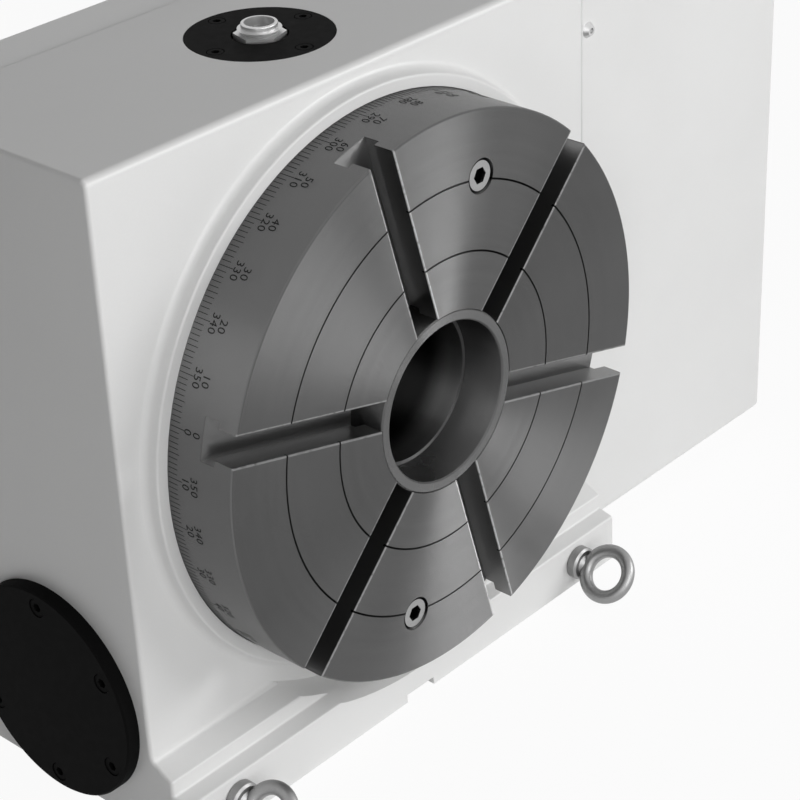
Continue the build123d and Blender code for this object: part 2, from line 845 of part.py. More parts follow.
with BuildPart() as housing_casting:
    with BuildSketch(right_plane(-body_half_w)) as section:
        with BuildLine():
            front_foot = foot_step(body_front, -1)
            back_foot = foot_step(body_back, 1)
            top_corners = [(body_front, body_top), (body_back, body_top)]
            Polyline(top_corners[0], *front_foot, *reversed(back_foot), top_corners[1], close=True)
        make_face()
        fillet(section.vertices().group_by(Axis.Y)[-1], edge_round)
        shelf_corners = section.vertices().filter_by_position(Axis.Y, base_z + foot_round, base_z + shelf_top)
        fillet(shelf_corners, foot_round)
        slope_corners = section.vertices().filter_by_position(Axis.Y, base_z + slope_top, base_z + slope_top)
        fillet(slope_corners, slope_round)
    extrude(amount=2 * body_half_w)
    chamfer(housing_casting.faces().sort_by(Axis.X)[-1].edges(), side_edge)
    fillet(housing_casting.faces().sort_by(Axis.X)[0].edges(), side_round)
    scallop = [
        (0, body_front - 2 * flange_reach),
        (scallop_front_r + (scallop_front_r - scallop_back_r), body_front - 2 * flange_reach),
        (scallop_back_r, body_front),
        (0, body_front),
    ]
    revolve(outline(scallop), axis=Axis.Y, mode=Mode.SUBTRACT)
    # boss around the platter: a rounded front edge, and a side that sweeps out into the front face
    boss_side = (boss_r + boss_draft, body_front + boss_root)
    boss_foot = (boss_r + boss_draft + boss_sweep, body_front + boss_root)
    with BuildSketch() as boss:
        with BuildLine():
            front = [(0, boss_front), (boss_r, boss_front)]
            Polyline(*front, boss_side, boss_foot, (0, front_inner), close=True)
        make_face()
        fillet(boss.vertices().sort_by_distance((boss_r, boss_front))[0], boss_round)
        fillet(boss.vertices().sort_by_distance(boss_side)[0], boss_sweep)
    revolve(axis=Axis.Y)
    # the hollow for the gear, open to the front and back through the bearing bores
    hollow_top = body_top - side_wall
    hollow_bottom = base_z + floor_t
    with BuildSketch(front_plane(front_inner, 0, 0.5 * (hollow_top + hollow_bottom))):
        RectangleRounded(2 * wall_x, hollow_top - hollow_bottom, hollow_round)
    extrude(amount=front_inner - back_inner, mode=Mode.SUBTRACT)
    # bearing bosses for the worm, inside the side walls
    for side in (-1, 1):
        with BuildSketch(worm_frame.offset(side * (wall_x + cut_over))):
            Circle(worm_boss_r)
        extrude(amount=-side * (worm_boss_len + cut_over))
    bores = [
        (0, boss_front - cut_over),
        (platter_r + run_gap, boss_front - cut_over),
        (platter_r + run_gap, recess_floor),
        (seal_bore_r, recess_floor),
        (seal_bore_r, front_bearing_y),
        (front_bearing_r + seat_gap, front_bearing_y),
        (front_bearing_r + seat_gap, front_inner + cut_over),
        (0, front_inner + cut_over),
    ]
    revolve(outline(bores), axis=Axis.Y, mode=Mode.SUBTRACT)
    rear_bore = washer(carrier_spigot_r + seat_gap, 0, back_inner - cut_over, body_back + cut_over)
    revolve(rear_bore, axis=Axis.Y, mode=Mode.SUBTRACT)
    # worm bores: one diameter from the left, stepped down for the seal on the right
    add(worm_ring(worm_bearing_r + seat_gap, 0, -body_half_w - cut_over, bearing_far), mode=Mode.SUBTRACT)
    add(worm_ring(worm_seal_r, 0, 0, body_half_w + cut_over), mode=Mode.SUBTRACT)
    # rim that the motor housing fits over
    rim_deep = box_deep - 2 * (motor_box_wall + seat_gap)
    rim_high = box_high - 2 * (motor_box_wall + seat_gap)
    with BuildSketch(box_middle):
        RectangleRounded(rim_deep, rim_high, edge_round)
        inner_deep = rim_deep - 2 * cover_rim_t
        inner_high = rim_high - 2 * cover_rim_t
        RectangleRounded(inner_deep, inner_high, cover_rim_round, mode=Mode.SUBTRACT)
    extrude(amount=cover_rim_w)
    # key slot along the base
    key_half = [
        (key_slot_w / 2 + slot_edge, -cut_over),
        (key_slot_w / 2 + slot_edge, 0),
        (key_slot_w / 2, slot_edge),
        (key_slot_w / 2, key_slot_depth),
    ]
    key_section = key_half + [(-across, up) for across, up in reversed(key_half)]
    key_start = front_plane(body_front - flange_reach - cut_over, 0, base_z)
    key_run = body_back - body_front + 2 * (flange_reach + cut_over)
    extrude(outline(key_section, key_start), amount=-key_run, mode=Mode.SUBTRACT)
    # pocket, oil way and threads in the top
    bore([top_centre], top_plate_r + pocket_gap, -top_plate_t)
    bore([top_centre], plug_thread_r, -side_wall - cut_over)
    tapped_holes = (
        (top_plate_seats, top_screw_d, top_screw_len),
        (clamp_screw_seats, clamp_screw_d, clamp_screw_len),
        (carrier_screw_seats, carrier_screw_d, carrier_screw_len),
        (worm_cover_seats, worm_cover_screw_d, worm_cover_screw_len),
        (front_cover_seats, button_screw_d, button_screw_len),
        (back_cover_seats, button_screw_d, button_screw_len),
        (eye_seats, eye_thread_d, eye_thread_len),
        (post_seats, post_thread_d, post_thread_len),
        (rear_cover_seats, rear_screw_d, rear_screw_len),
    )
    for seats, size, length in tapped_holes:
        bore(seats, size / 2, -length - tip_room)
save(housing_casting, "housing_casting")

# Plate in the top, with its screws and the hollow hexagon plug in its middle
with BuildPart() as top_plate:
    with BuildSketch(Plane(origin=(0, top_plate_y, body_top - top_plate_t))):
        Circle(top_plate_r)
    extrude(amount=top_plate_t)
    bore([top_centre], top_plate_hole_r, -plug_seat_depth)
    bore([top_centre], plug_thread_r + lip_gap, -top_plate_t)
    screw_holes(top_plate_seats, top_screw_d, top_plate_t, top_screw_head_h)
save(top_plate, "top_plate")
cap_screws("top_plate_screws", top_plate_seats, top_screw_d, top_screw_len, top_screw_head_h)

plug_seat = Plane(origin=(0, top_plate_y, body_top - plug_seat_depth))
with BuildPart() as filler_plug:
    with BuildSketch(plug_seat):
        RegularPolygon(plug_hex / 2, 6, major_radius=False, rotation=plug_turn)
    extrude(amount=plug_hex_h)
    # the hexagon's corners are turned down to a cone
    with BuildSketch(plug_seat.offset(plug_hex_h)):
        Circle(plug_hex / 2 + plug_crown_reach)
        Circle(plug_hex / 2 - plug_crown_edge, mode=Mode.SUBTRACT)
    extrude(amount=-plug_crown_h, taper=-plug_crown_angle, mode=Mode.SUBTRACT)
    with BuildSketch(plug_seat.offset(plug_hex_h)):
        Circle(plug_rim_r)
    extrude(amount=plug_rim_h)
    fillet(filler_plug.faces().sort_by(Axis.Z)[-1].edges(), plug_rim_round)
    with BuildSketch(plug_seat):
        Circle(plug_thread_r - seat_gap)
    extrude(amount=-side_wall)
    bore([plug_seat.offset(plug_hex_h + plug_rim_h)], plug_bore_r, -plug_bore_depth)
save(filler_plug, "filler_plug")

# Small glass at the bottom of the plug's bore
with BuildPart() as plug_lens:
    with BuildSketch(plug_seat.offset(plug_hex_h + plug_rim_h - plug_bore_depth)):
        Circle(plug_bore_r - seat_gap)
    extrude(amount=plug_lens_t)
save(plug_lens, "plug_lens")


# Lifting eyes, screwed into the front flange
def lifting_eye(label, seat, tilt):
    """One eyebolt: threaded shank, collar, neck and a ring turned by tilt about its shank."""
    turn = radians(tilt)
    ring_axis = Axis(seat.origin + seat.z_dir * eye_reach, Vector(cos(turn), 0, -sin(turn)))
    ring_far = ring_axis.position + seat.z_dir * eye_ring_r
    ring_section = Plane(origin=ring_far, x_dir=-seat.z_dir, z_dir=ring_axis.direction.cross(seat.z_dir))
    with BuildPart() as eye:
        with BuildSketch(seat):
            Circle(eye_thread_d / 2 - seat_gap)
        extrude(amount=-eye_thread_len)
        with BuildSketch(seat):
            Circle(eye_collar_r)
        extrude(amount=eye_collar_t)
        chamfer(eye.faces().sort_by(Axis.Y)[0].edges(), eye_collar_edge)
        with BuildSketch(seat.offset(eye_collar_t - cut_over)):
            Circle(eye_neck_r)
        with BuildSketch(seat.offset(eye_reach - eye_ring_r)):
            Circle(eye_neck_top_r)
        loft()
        with BuildSketch(ring_section):
            Circle(eye_wire_r)
        revolve(axis=ring_axis)
    save(eye, label)


lifting_eye("lifting_eye_left", eye_seats[0], eye_tilt)
lifting_eye("lifting_eye_right", eye_seats[1], eye_tilt)

# Brake: a disc on the hub, an annular piston behind it and a fixed ring in front of it
with BuildPart() as brake_disc:
    revolve(washer(brake_disc_r, drive_seat_r + seat_gap, brake_disc_y, disc_back), axis=Axis.Y)
    screw_holes(disc_screw_seats, disc_screw_d, brake_disc_t)
save(brake_disc, "brake_disc")
cap_screws("brake_disc_screws", disc_screw_seats, disc_screw_d, disc_screw_len, disc_screw_head_h)

piston_front = disc_back + brake_gap
piston_back = piston_front + brake_piston_len
with BuildPart() as brake_piston:
    piston = washer(brake_piston_out - slide_gap, brake_piston_in + slide_gap, piston_front, piston_back)
    revolve(piston, axis=Axis.Y)
save(brake_piston, "brake_piston")

lip_back = brake_disc_y - face_gap
with BuildPart() as brake_ring:
    lip = [
        (brake_piston_in, lip_back - brake_lip_t),
        (brake_ring_r, lip_back - brake_lip_t),
        (brake_ring_r, carrier_front),
        (brake_ring_in, carrier_front),
        (brake_ring_in, lip_back),
        (brake_piston_in, lip_back),
    ]
    revolve(outline(lip), axis=Axis.Y)
    screw_holes(brake_ring_seats, brake_screw_d, brake_ring_web, brake_ring_web)
save(brake_ring, "brake_ring")
cap_screws("brake_ring_screws", brake_ring_seats, brake_screw_d, brake_screw_len)

# Carrier for the rear bearing, with the brake cylinder in its front face
with BuildPart() as bearing_carrier:
    groove_floor = piston_back + brake_oil_gap
    carrier = [
        (brake_piston_out, carrier_front),
        (carrier_hub_r, carrier_front),
        (carrier_hub_r, back_inner),
        (carrier_spigot_r, back_inner),
        (carrier_spigot_r, body_back),
        (carrier_flange_r, body_back),
        (carrier_flange_r, carrier_back),
        (rear_bearing_r + seat_gap, carrier_back),
        (rear_bearing_r + seat_gap, rear_bearing_y),
        (rear_race_in + race_clear, rear_bearing_y),
        (rear_race_in + race_clear, carrier_front + carrier_web),
        (brake_piston_in, carrier_front + carrier_web),
        (brake_piston_in, groove_floor),
        (brake_piston_out, groove_floor),
    ]
    revolve(outline(carrier), axis=Axis.Y)
    bore(brake_ring_seats, brake_screw_d / 2, -brake_screw_len - tip_room)
    bore(retainer_seats, retainer_screw_d / 2, -retainer_screw_len - tip_room)
    screw_holes(carrier_screw_seats, carrier_screw_d, carrier_flange_t)
save(bearing_carrier, "bearing_carrier")
cap_screws("carrier_screws", carrier_screw_seats, carrier_screw_d, carrier_screw_len)

# Rear roller bearing
with BuildPart() as rear_bearing_inner:
    revolve(washer(rear_race_in, rear_seat_r + seat_gap, rear_bearing_y, rear_bearing_back), axis=Axis.Y)
save(rear_bearing_inner, "rear_bearing_inner")

with BuildPart() as rear_bearing_outer:
    revolve(washer(rear_bearing_r, rear_race_out, rear_bearing_y, rear_bearing_back), axis=Axis.Y)
save(rear_bearing_outer, "rear_bearing_outer")

with BuildPart() as rear_bearing_rollers:
    with BuildSketch(back_plane(rear_bearing_y + rear_roller_gap)):
        with PolarLocations(rear_roller_circle, rear_roller_count):
            Circle(rear_roller_r)
    extrude(amount=rear_bearing_w - 2 * rear_roller_gap)
save(rear_bearing_rollers, "rear_bearing_rollers")

with BuildPart() as bearing_retainer:
    retainer = [
        (rear_race_out + retainer_lip_gap, rear_bearing_back),
        (rear_bearing_r - seat_gap, rear_bearing_back),
        (rear_bearing_r - seat_gap, carrier_back),
        (carrier_hub_r, carrier_back),
        (carrier_hub_r, retainer_back),
        (rear_race_out + retainer_lip_gap, retainer_back),
    ]
    revolve(outline(retainer), axis=Axis.Y)
    screw_holes(retainer_seats, retainer_screw_d, retainer_t)
save(bearing_retainer, "bearing_retainer")
cap_screws("retainer_screws", retainer_seats, retainer_screw_d, retainer_screw_len)

with BuildPart() as spindle_nut:
    nut_back = rear_bearing_back + spindle_nut_w
    nut_r = rear_race_in - race_clear
    revolve(washer(nut_r, tail_r + seat_gap, rear_bearing_back, nut_back), axis=Axis.Y)
    with BuildSketch(back_plane(nut_back)):
        with PolarLocations(nut_r, 4):
            Rectangle(2 * spindle_notch_depth, spindle_notch_w)
    extrude(amount=-spindle_nut_w, mode=Mode.SUBTRACT)
save(spindle_nut, "spindle_nut")

# Rear cover: a deep cap over the carrier, with the rear seal in its bore
with BuildPart() as rear_cover:
    cover_w = 2 * (body_half_w - rear_cover_inset)
    cover_h = rear_cover_top - rear_cover_bottom
    cover_middle = back_plane(body_back, 0, rear_cover_mid)
    with BuildSketch(cover_middle):
        RectangleRounded(cover_w, cover_h, rear_cover_corner)
    extrude(amount=rear_cover_depth)
    fillet(rear_cover.faces().sort_by(Axis.Y)[-1].edges(), rear_cover_round)
    with BuildSketch(cover_middle):
        inner_w = cover_w - 2 * rear_cover_wall
        inner_h = cover_h - 2 * rear_cover_wall
        RectangleRounded(inner_w, inner_h, rear_cover_inner_corner)
    extrude(amount=rear_cover_depth - rear_cover_wall, mode=Mode.SUBTRACT)
    with BuildSketch(*rear_cover_seats):
        Circle(rear_boss_r)
    extrude(amount=rear_head_depth - rear_cover_depth)
    screw_holes(rear_cover_seats, rear_screw_d, rear_cover_depth, rear_head_depth)
    bore([back_plane(rear_back)], rear_seal_r, -rear_cover_wall)
save(rear_cover, "rear_cover")
cap_screws("rear_cover_screws", rear_cover_seats, rear_screw_d, rear_screw_len, rear_screw_head_h)

with BuildPart() as rear_seal:
    seal_near = rear_back - rear_cover_wall
    seal_far = rear_back - rear_seal_inset
    revolve(washer(rear_seal_r - seat_gap, tail_r + lip_gap, seal_near, seal_far), axis=Axis.Y)
save(rear_seal, "rear_seal")

# Motor housing: a box open towards the casting, pulled over the casting's rim
with BuildPart() as motor_housing:
    with BuildSketch(box_middle):
        RectangleRounded(box_deep, box_high, edge_round)
    extrude(amount=motor_box_len)
    fillet(motor_housing.faces().sort_by(Axis.X)[-1].edges(), motor_box_round)
    chamfer(motor_housing.faces().sort_by(Axis.X)[0].edges(), motor_box_edge)
    with BuildSketch(box_middle):
        RectangleRounded(box_deep - 2 * motor_box_wall, box_high - 2 * motor_box_wall, edge_round)
    extrude(amount=motor_box_len - motor_box_wall, mode=Mode.SUBTRACT)
    screw_holes(front_cover_seats, button_screw_d, motor_box_wall)
    screw_holes(back_cover_seats, button_screw_d, motor_box_wall)
    bore([gland_seat], gland_thread_r, -motor_box_wall)
save(motor_housing, "motor_housing")

with BuildPart() as cover_button_screws:
    cover_seats = front_cover_seats + back_cover_seats
    with Locations(*[seat.offset(button_h / 2) for seat in cover_seats]):
        Cone(button_r, button_crown_share * button_r, button_h)
    with BuildSketch(*cover_seats):
        Circle(button_screw_d / 2 - seat_gap)
    extrude(amount=-button_screw_len)
    with BuildSketch(*[seat.offset(button_h) for seat in cover_seats]):
        RegularPolygon(button_socket / 2, 6, major_radius=False)
    extrude(amount=-button_socket_depth, mode=Mode.SUBTRACT)
save(cover_button_screws, "cover_button_screws")

with BuildPart() as cable_gland:
    with BuildSketch(gland_seat):
        RegularPolygon(gland_hex / 2, 6, major_radius=False)
    extrude(amount=gland_hex_t)
    with BuildSketch(gland_seat.offset(gland_hex_t)):
        Circle(gland_cap_r)
    extrude(amount=gland_cap_len)
    fillet(cable_gland.faces().sort_by(Axis.Y)[-1].edges(), gland_cap_round)
    with BuildSketch(gland_seat):
        Circle(gland_thread_r - seat_gap)
    extrude(amount=-motor_box_wall - gland_tail)
    bore([gland_seat], gland_bore_r, gland_hex_t + gland_cap_len)
    bore([gland_seat], gland_bore_r, -motor_box_wall - gland_tail)
save(cable_gland, "cable_gland")

# Motor, bolted to a bracket that stands on four posts
with BuildPart() as bracket_posts:
    with BuildSketch(*post_seats):
        Circle(post_r)
    extrude(amount=bracket_x - body_half_w)
    with BuildSketch(*post_seats):
        Circle(post_thread_d / 2 - seat_gap)
    extrude(amount=-post_thread_len)
    bore(bracket_screw_seats, bracket_screw_d / 2, -bracket_screw_len - tip_room)
save(bracket_posts, "bracket_posts")

motor_axis_plane = Plane(origin=(0, gear_y, motor_z), x_dir=(0, 0, 1), z_dir=(1, 0, 0))
motor_front = bracket_x + bracket_t
motor_back = motor_front + motor_len
motor_flange_back = motor_front + motor_flange_t
motor_screw_offset = motor_half - motor_screw_inset
motor_screw_seats = [
    right_plane(motor_flange_back, gear_y + side * motor_screw_offset, motor_z + up * motor_screw_offset)
    for side in (-1, 1)
    for up in (-1, 1)
]

with BuildPart() as motor_bracket:
    with BuildSketch(motor_axis_plane.offset(bracket_x)):
        RectangleRounded(2 * bracket_half_h, 2 * bracket_half_w, bracket_round)
        Circle(rotor_r, mode=Mode.SUBTRACT)
    extrude(amount=bracket_t)
    screw_holes(bracket_screw_seats, bracket_screw_d, bracket_t)
    bore(motor_screw_seats, motor_screw_d / 2, -motor_flange_t - bracket_t)
save(motor_bracket, "motor_bracket")
cap_screws("bracket_screws", bracket_screw_seats, bracket_screw_d, bracket_screw_len)

with BuildPart() as motor_body:
    with BuildSketch(motor_axis_plane.offset(motor_front)):
        RectangleRounded(2 * motor_half, 2 * motor_half, motor_round)
    extrude(amount=motor_flange_t)
    with BuildSketch(motor_axis_plane.offset(motor_flange_back)) as frame_section:
        frame_side = 2 * (motor_half - motor_frame_step)
        Rectangle(frame_side, frame_side)
        chamfer(frame_section.vertices(), motor_frame_corner)
    extrude(amount=motor_len - motor_flange_t)
    rotor_room_end = motor_back - motor_end_wall
    add(motor_ring(rotor_r + rotor_gap, 0, motor_flange_back, rotor_room_end), mode=Mode.SUBTRACT)
    hole_r = motor_shaft_r + slide_gap
    add(motor_ring(hole_r, 0, motor_front - cut_over, motor_flange_back + cut_over), mode=Mode.SUBTRACT)
    screw_holes(motor_screw_seats, motor_screw_d, motor_flange_t)
save(motor_body, "motor_body")
cap_screws("motor_screws", motor_screw_seats, motor_screw_d, motor_screw_len)

with BuildPart() as encoder_cap:
    add(motor_ring(encoder_r, 0, motor_back, motor_back + encoder_len))
    fillet(encoder_cap.faces().sort_by(Axis.X)[-1].edges(), encoder_round)
save(encoder_cap, "encoder_cap")

with BuildPart() as motor_rotor:
    shaft_start = belt_x - belt_w / 2 - motor_shaft_front
    add(motor_ring(motor_shaft_r, 0, shaft_start, rotor_room_end - rotor_end_gap))
    rotor_mid = 0.5 * (motor_flange_back + rotor_room_end)
    add(motor_ring(rotor_r, 0, rotor_mid - rotor_len / 2, rotor_mid + rotor_len / 2))
save(motor_rotor, "motor_rotor")


# Belt drive from the motor to the worm
def pulley_r(teeth):
    """Outside radius of a pulley for the belt's pitch."""
    return teeth * belt_pitch / (2 * pi) - belt_pitch_drop


def pulley(label, frame, teeth, bore_r):
    """Toothed pulley on the frame's axis, with a thin flange on each side."""
    outer = pulley_r(teeth)
    half_face = belt_w / 2 + pulley_margin
    with BuildPart() as wheel:
        with BuildSketch(frame.offset(belt_x - half_face)):
            Circle(outer)
            with PolarLocations(outer, teeth):
                Rectangle(2 * groove_depth, groove_w, mode=Mode.SUBTRACT)
        extrude(amount=2 * half_face)
        for face in (belt_x - half_face - pulley_flange_t, belt_x + half_face):
            with BuildSketch(frame.offset(face)):
                Circle(outer + pulley_flange_h)
            extrude(amount=pulley_flange_t)
        bore([frame.offset(belt_x + belt_w)], bore_r, -2 * belt_w)
    save(wheel, label)


pulley("driven_pulley", worm_frame, driven_teeth, pulley_seat_r + seat_gap)
pulley("drive_pulley", motor_axis_plane, drive_teeth, motor_shaft_r + seat_gap)


def belt_loop(extra):
    """Outline of the belt's path round both pulleys, moved outwards by extra."""
    with BuildSketch(worm_frame.offset(belt_x - belt_w / 2)) as loop:
        Circle(pulley_r(driven_teeth) + extra)
        with Locations((belt_centres, 0)):
            Circle(pulley_r(drive_teeth) + extra)
        make_hull()
    return loop.sketch


with BuildPart() as timing_belt:
    extrude(belt_loop(run_gap + belt_t), amount=belt_w)
    extrude(belt_loop(run_gap), amount=belt_w, mode=Mode.SUBTRACT)
save(timing_belt, "timing_belt")
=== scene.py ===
"""Looks of the upright CNC rotary table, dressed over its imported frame.

Sizes in the classes are in millimetres and angles in degrees. Only the lamps and the camera are
placed in metres. The spindle's axis is y, and the platter's face lies at y = 0.
"""

import json
import logging
import math
from dataclasses import dataclass
from enum import Enum
from typing import Any, Mapping

import bmesh
import bpy
from mathutils import Matrix, Vector

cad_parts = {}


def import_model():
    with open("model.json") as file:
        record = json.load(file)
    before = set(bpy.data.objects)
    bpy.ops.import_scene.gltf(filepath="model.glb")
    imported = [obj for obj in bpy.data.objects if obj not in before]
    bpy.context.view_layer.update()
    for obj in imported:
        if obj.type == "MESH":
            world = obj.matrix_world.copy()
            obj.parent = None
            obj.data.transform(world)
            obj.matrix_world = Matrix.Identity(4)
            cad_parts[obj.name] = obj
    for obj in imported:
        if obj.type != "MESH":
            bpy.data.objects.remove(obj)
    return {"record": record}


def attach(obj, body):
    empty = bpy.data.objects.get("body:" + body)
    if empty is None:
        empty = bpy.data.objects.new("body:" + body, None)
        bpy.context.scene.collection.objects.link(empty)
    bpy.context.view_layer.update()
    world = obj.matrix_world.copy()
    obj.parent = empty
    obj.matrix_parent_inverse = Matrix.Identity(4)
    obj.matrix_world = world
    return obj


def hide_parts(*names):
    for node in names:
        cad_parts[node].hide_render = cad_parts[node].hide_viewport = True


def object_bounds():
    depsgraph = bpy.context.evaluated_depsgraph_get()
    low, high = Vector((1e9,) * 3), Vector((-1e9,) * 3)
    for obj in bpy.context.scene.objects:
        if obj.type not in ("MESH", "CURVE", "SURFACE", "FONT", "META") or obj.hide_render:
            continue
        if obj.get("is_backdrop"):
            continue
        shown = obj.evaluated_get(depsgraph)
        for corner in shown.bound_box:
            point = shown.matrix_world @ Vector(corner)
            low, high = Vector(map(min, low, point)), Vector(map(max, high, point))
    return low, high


log = logging.getLogger("rotary_table")

MM = 0.001  # a millimetre in metres
WELD = 1e-6  # points nearer than this, in metres, are merged
SAME = 0.1  # whole numbers nearer than this count as equal
FULL_TURN = 360  # degrees
MIX_COLOURS = (6, 7)  # the Mix node's two colour inputs
MIX_RESULT = 2  # and its colour output
Colour = tuple[float, float, float]


class Wire:
    """A node's output that takes part in arithmetic, adding Math nodes as it goes."""

    def __init__(self, tree: "Tree", socket: bpy.types.NodeSocket) -> None:
        """Wraps one output socket of the tree."""
        self.tree = tree
        self.socket = socket

    def _math(self, operation: str, *values: Any) -> "Wire":
        """Adds one Math node.

        Args:
            operation: the Math node's operation.
            values: its inputs in order, wires or numbers.

        Returns:
            The node's result.
        """
        return self.tree.wire("ShaderNodeMath", {"operation": operation}, dict(enumerate(values)))

    def __add__(self, other: Any) -> "Wire":
        """Sum."""
        return self._math("ADD", self, other)

    def __radd__(self, other: Any) -> "Wire":
        """Sum, with the number first."""
        return self._math("ADD", other, self)

    def __sub__(self, other: Any) -> "Wire":
        """Difference."""
        return self._math("SUBTRACT", self, other)

    def __rsub__(self, other: Any) -> "Wire":
        """Difference, with the number first."""
        return self._math("SUBTRACT", other, self)

    def __mul__(self, other: Any) -> "Wire":
        """Product."""
        return self._math("MULTIPLY", self, other)

    def __rmul__(self, other: Any) -> "Wire":
        """Product, with the number first."""
        return self._math("MULTIPLY", other, self)

    def __truediv__(self, other: Any) -> "Wire":
        """Quotient."""
        return self._math("DIVIDE", self, other)

    def __rtruediv__(self, other: Any) -> "Wire":
        """Quotient, with the number first."""
        return self._math("DIVIDE", other, self)

    def __gt__(self, other: Any) -> "Wire":
        """1 where this is greater."""
        return self._math("GREATER_THAN", self, other)

    def __lt__(self, other: Any) -> "Wire":
        """1 where this is less."""
        return self._math("LESS_THAN", self, other)

    def __abs__(self) -> "Wire":
        """Size without sign."""
        return self._math("ABSOLUTE", self)

    def cosine(self) -> "Wire":
        """Cosine of an angle in radians."""
        return self._math("COSINE", self)

    def sine(self) -> "Wire":
        """Sine of an angle in radians."""
        return self._math("SINE", self)

    def root(self) -> "Wire":
        """Square root."""
        return self._math("SQRT", self)

    def turn_from(self, other: "Wire") -> "Wire":
        """Angle in radians of the point (other, this)."""
        return self._math("ARCTAN2", self, other)

    def sign(self) -> "Wire":
        """1 above zero and -1 below."""
        return self._math("SIGN", self)

    def larger(self, other: "Wire") -> "Wire":
        """The larger of the two."""
        return self._math("MAXIMUM", self, other)

    def divides(self, step: int) -> "Wire":
        """1 where a whole number is a multiple of the step."""
        return self._math("COMPARE", self.modulo(step), 0.0, SAME)

    def wrapped(self, top: float, bottom: float) -> "Wire":
        """The value brought between bottom and top by whole periods."""
        return self._math("WRAP", self, top, bottom)

    def modulo(self, period: float) -> "Wire":
        """Remainder after division by the period."""
        return self._math("FLOORED_MODULO", self, period)

    def centred(self) -> "Wire":
        """The value less one half, so that a noise swings about 0."""
        return self - 0.5

    def ramp(self, low: float, high: float) -> "Wire":
        """Rises smoothly from 0 at low to 1 at high."""
        return self.tree.wire(
            "ShaderNodeMapRange", {"interpolation_type": "SMOOTHSTEP"}, {0: self, 1: low, 2: high}
        )


class Tree:
    """A node tree, with the one method that adds any node to it."""

    def __init__(self, tree: bpy.types.NodeTree) -> None:
        """Starts from an empty tree."""
        self.tree = tree
        tree.nodes.clear()

    def feed(self, socket: bpy.types.NodeSocket, value: Any) -> None:
        """Links a wire to the socket, or sets its value.

        Args:
            socket: an input of a node.
            value: a wire, or a plain value.
        """
        if isinstance(value, Wire):
            self.tree.links.new(value.socket, socket)
        else:
            socket.default_value = value

    def node(
        self, kind: str, settings: Mapping[str, Any] | None = None, inputs: Mapping[Any, Any] | None = None
    ) -> bpy.types.Node:
        """Adds one node.

        Args:
            kind: the node's type name.
            settings: its own properties, set before anything is linked.
            inputs: values or wires of its sockets, by name or index.

        Returns:
            The new node.
        """
        node = self.tree.nodes.new(kind)
        for name, value in (settings or {}).items():
            setattr(node, name, value)
        for key, value in (inputs or {}).items():
            self.feed(node.inputs[key], value)
        return node

    def wire(
        self,
        kind: str,
        settings: Mapping[str, Any] | None = None,
        inputs: Mapping[Any, Any] | None = None,
        output: Any = 0,
    ) -> Wire:
        """Adds one node and returns one of its outputs.

        Args:
            kind: the node's type name.
            settings: its own properties.
            inputs: values or wires of its sockets.
            output: name or index of the output to return.

        Returns:
            The output as a wire.
        """
        return Wire(self, self.node(kind, settings, inputs).outputs[output])


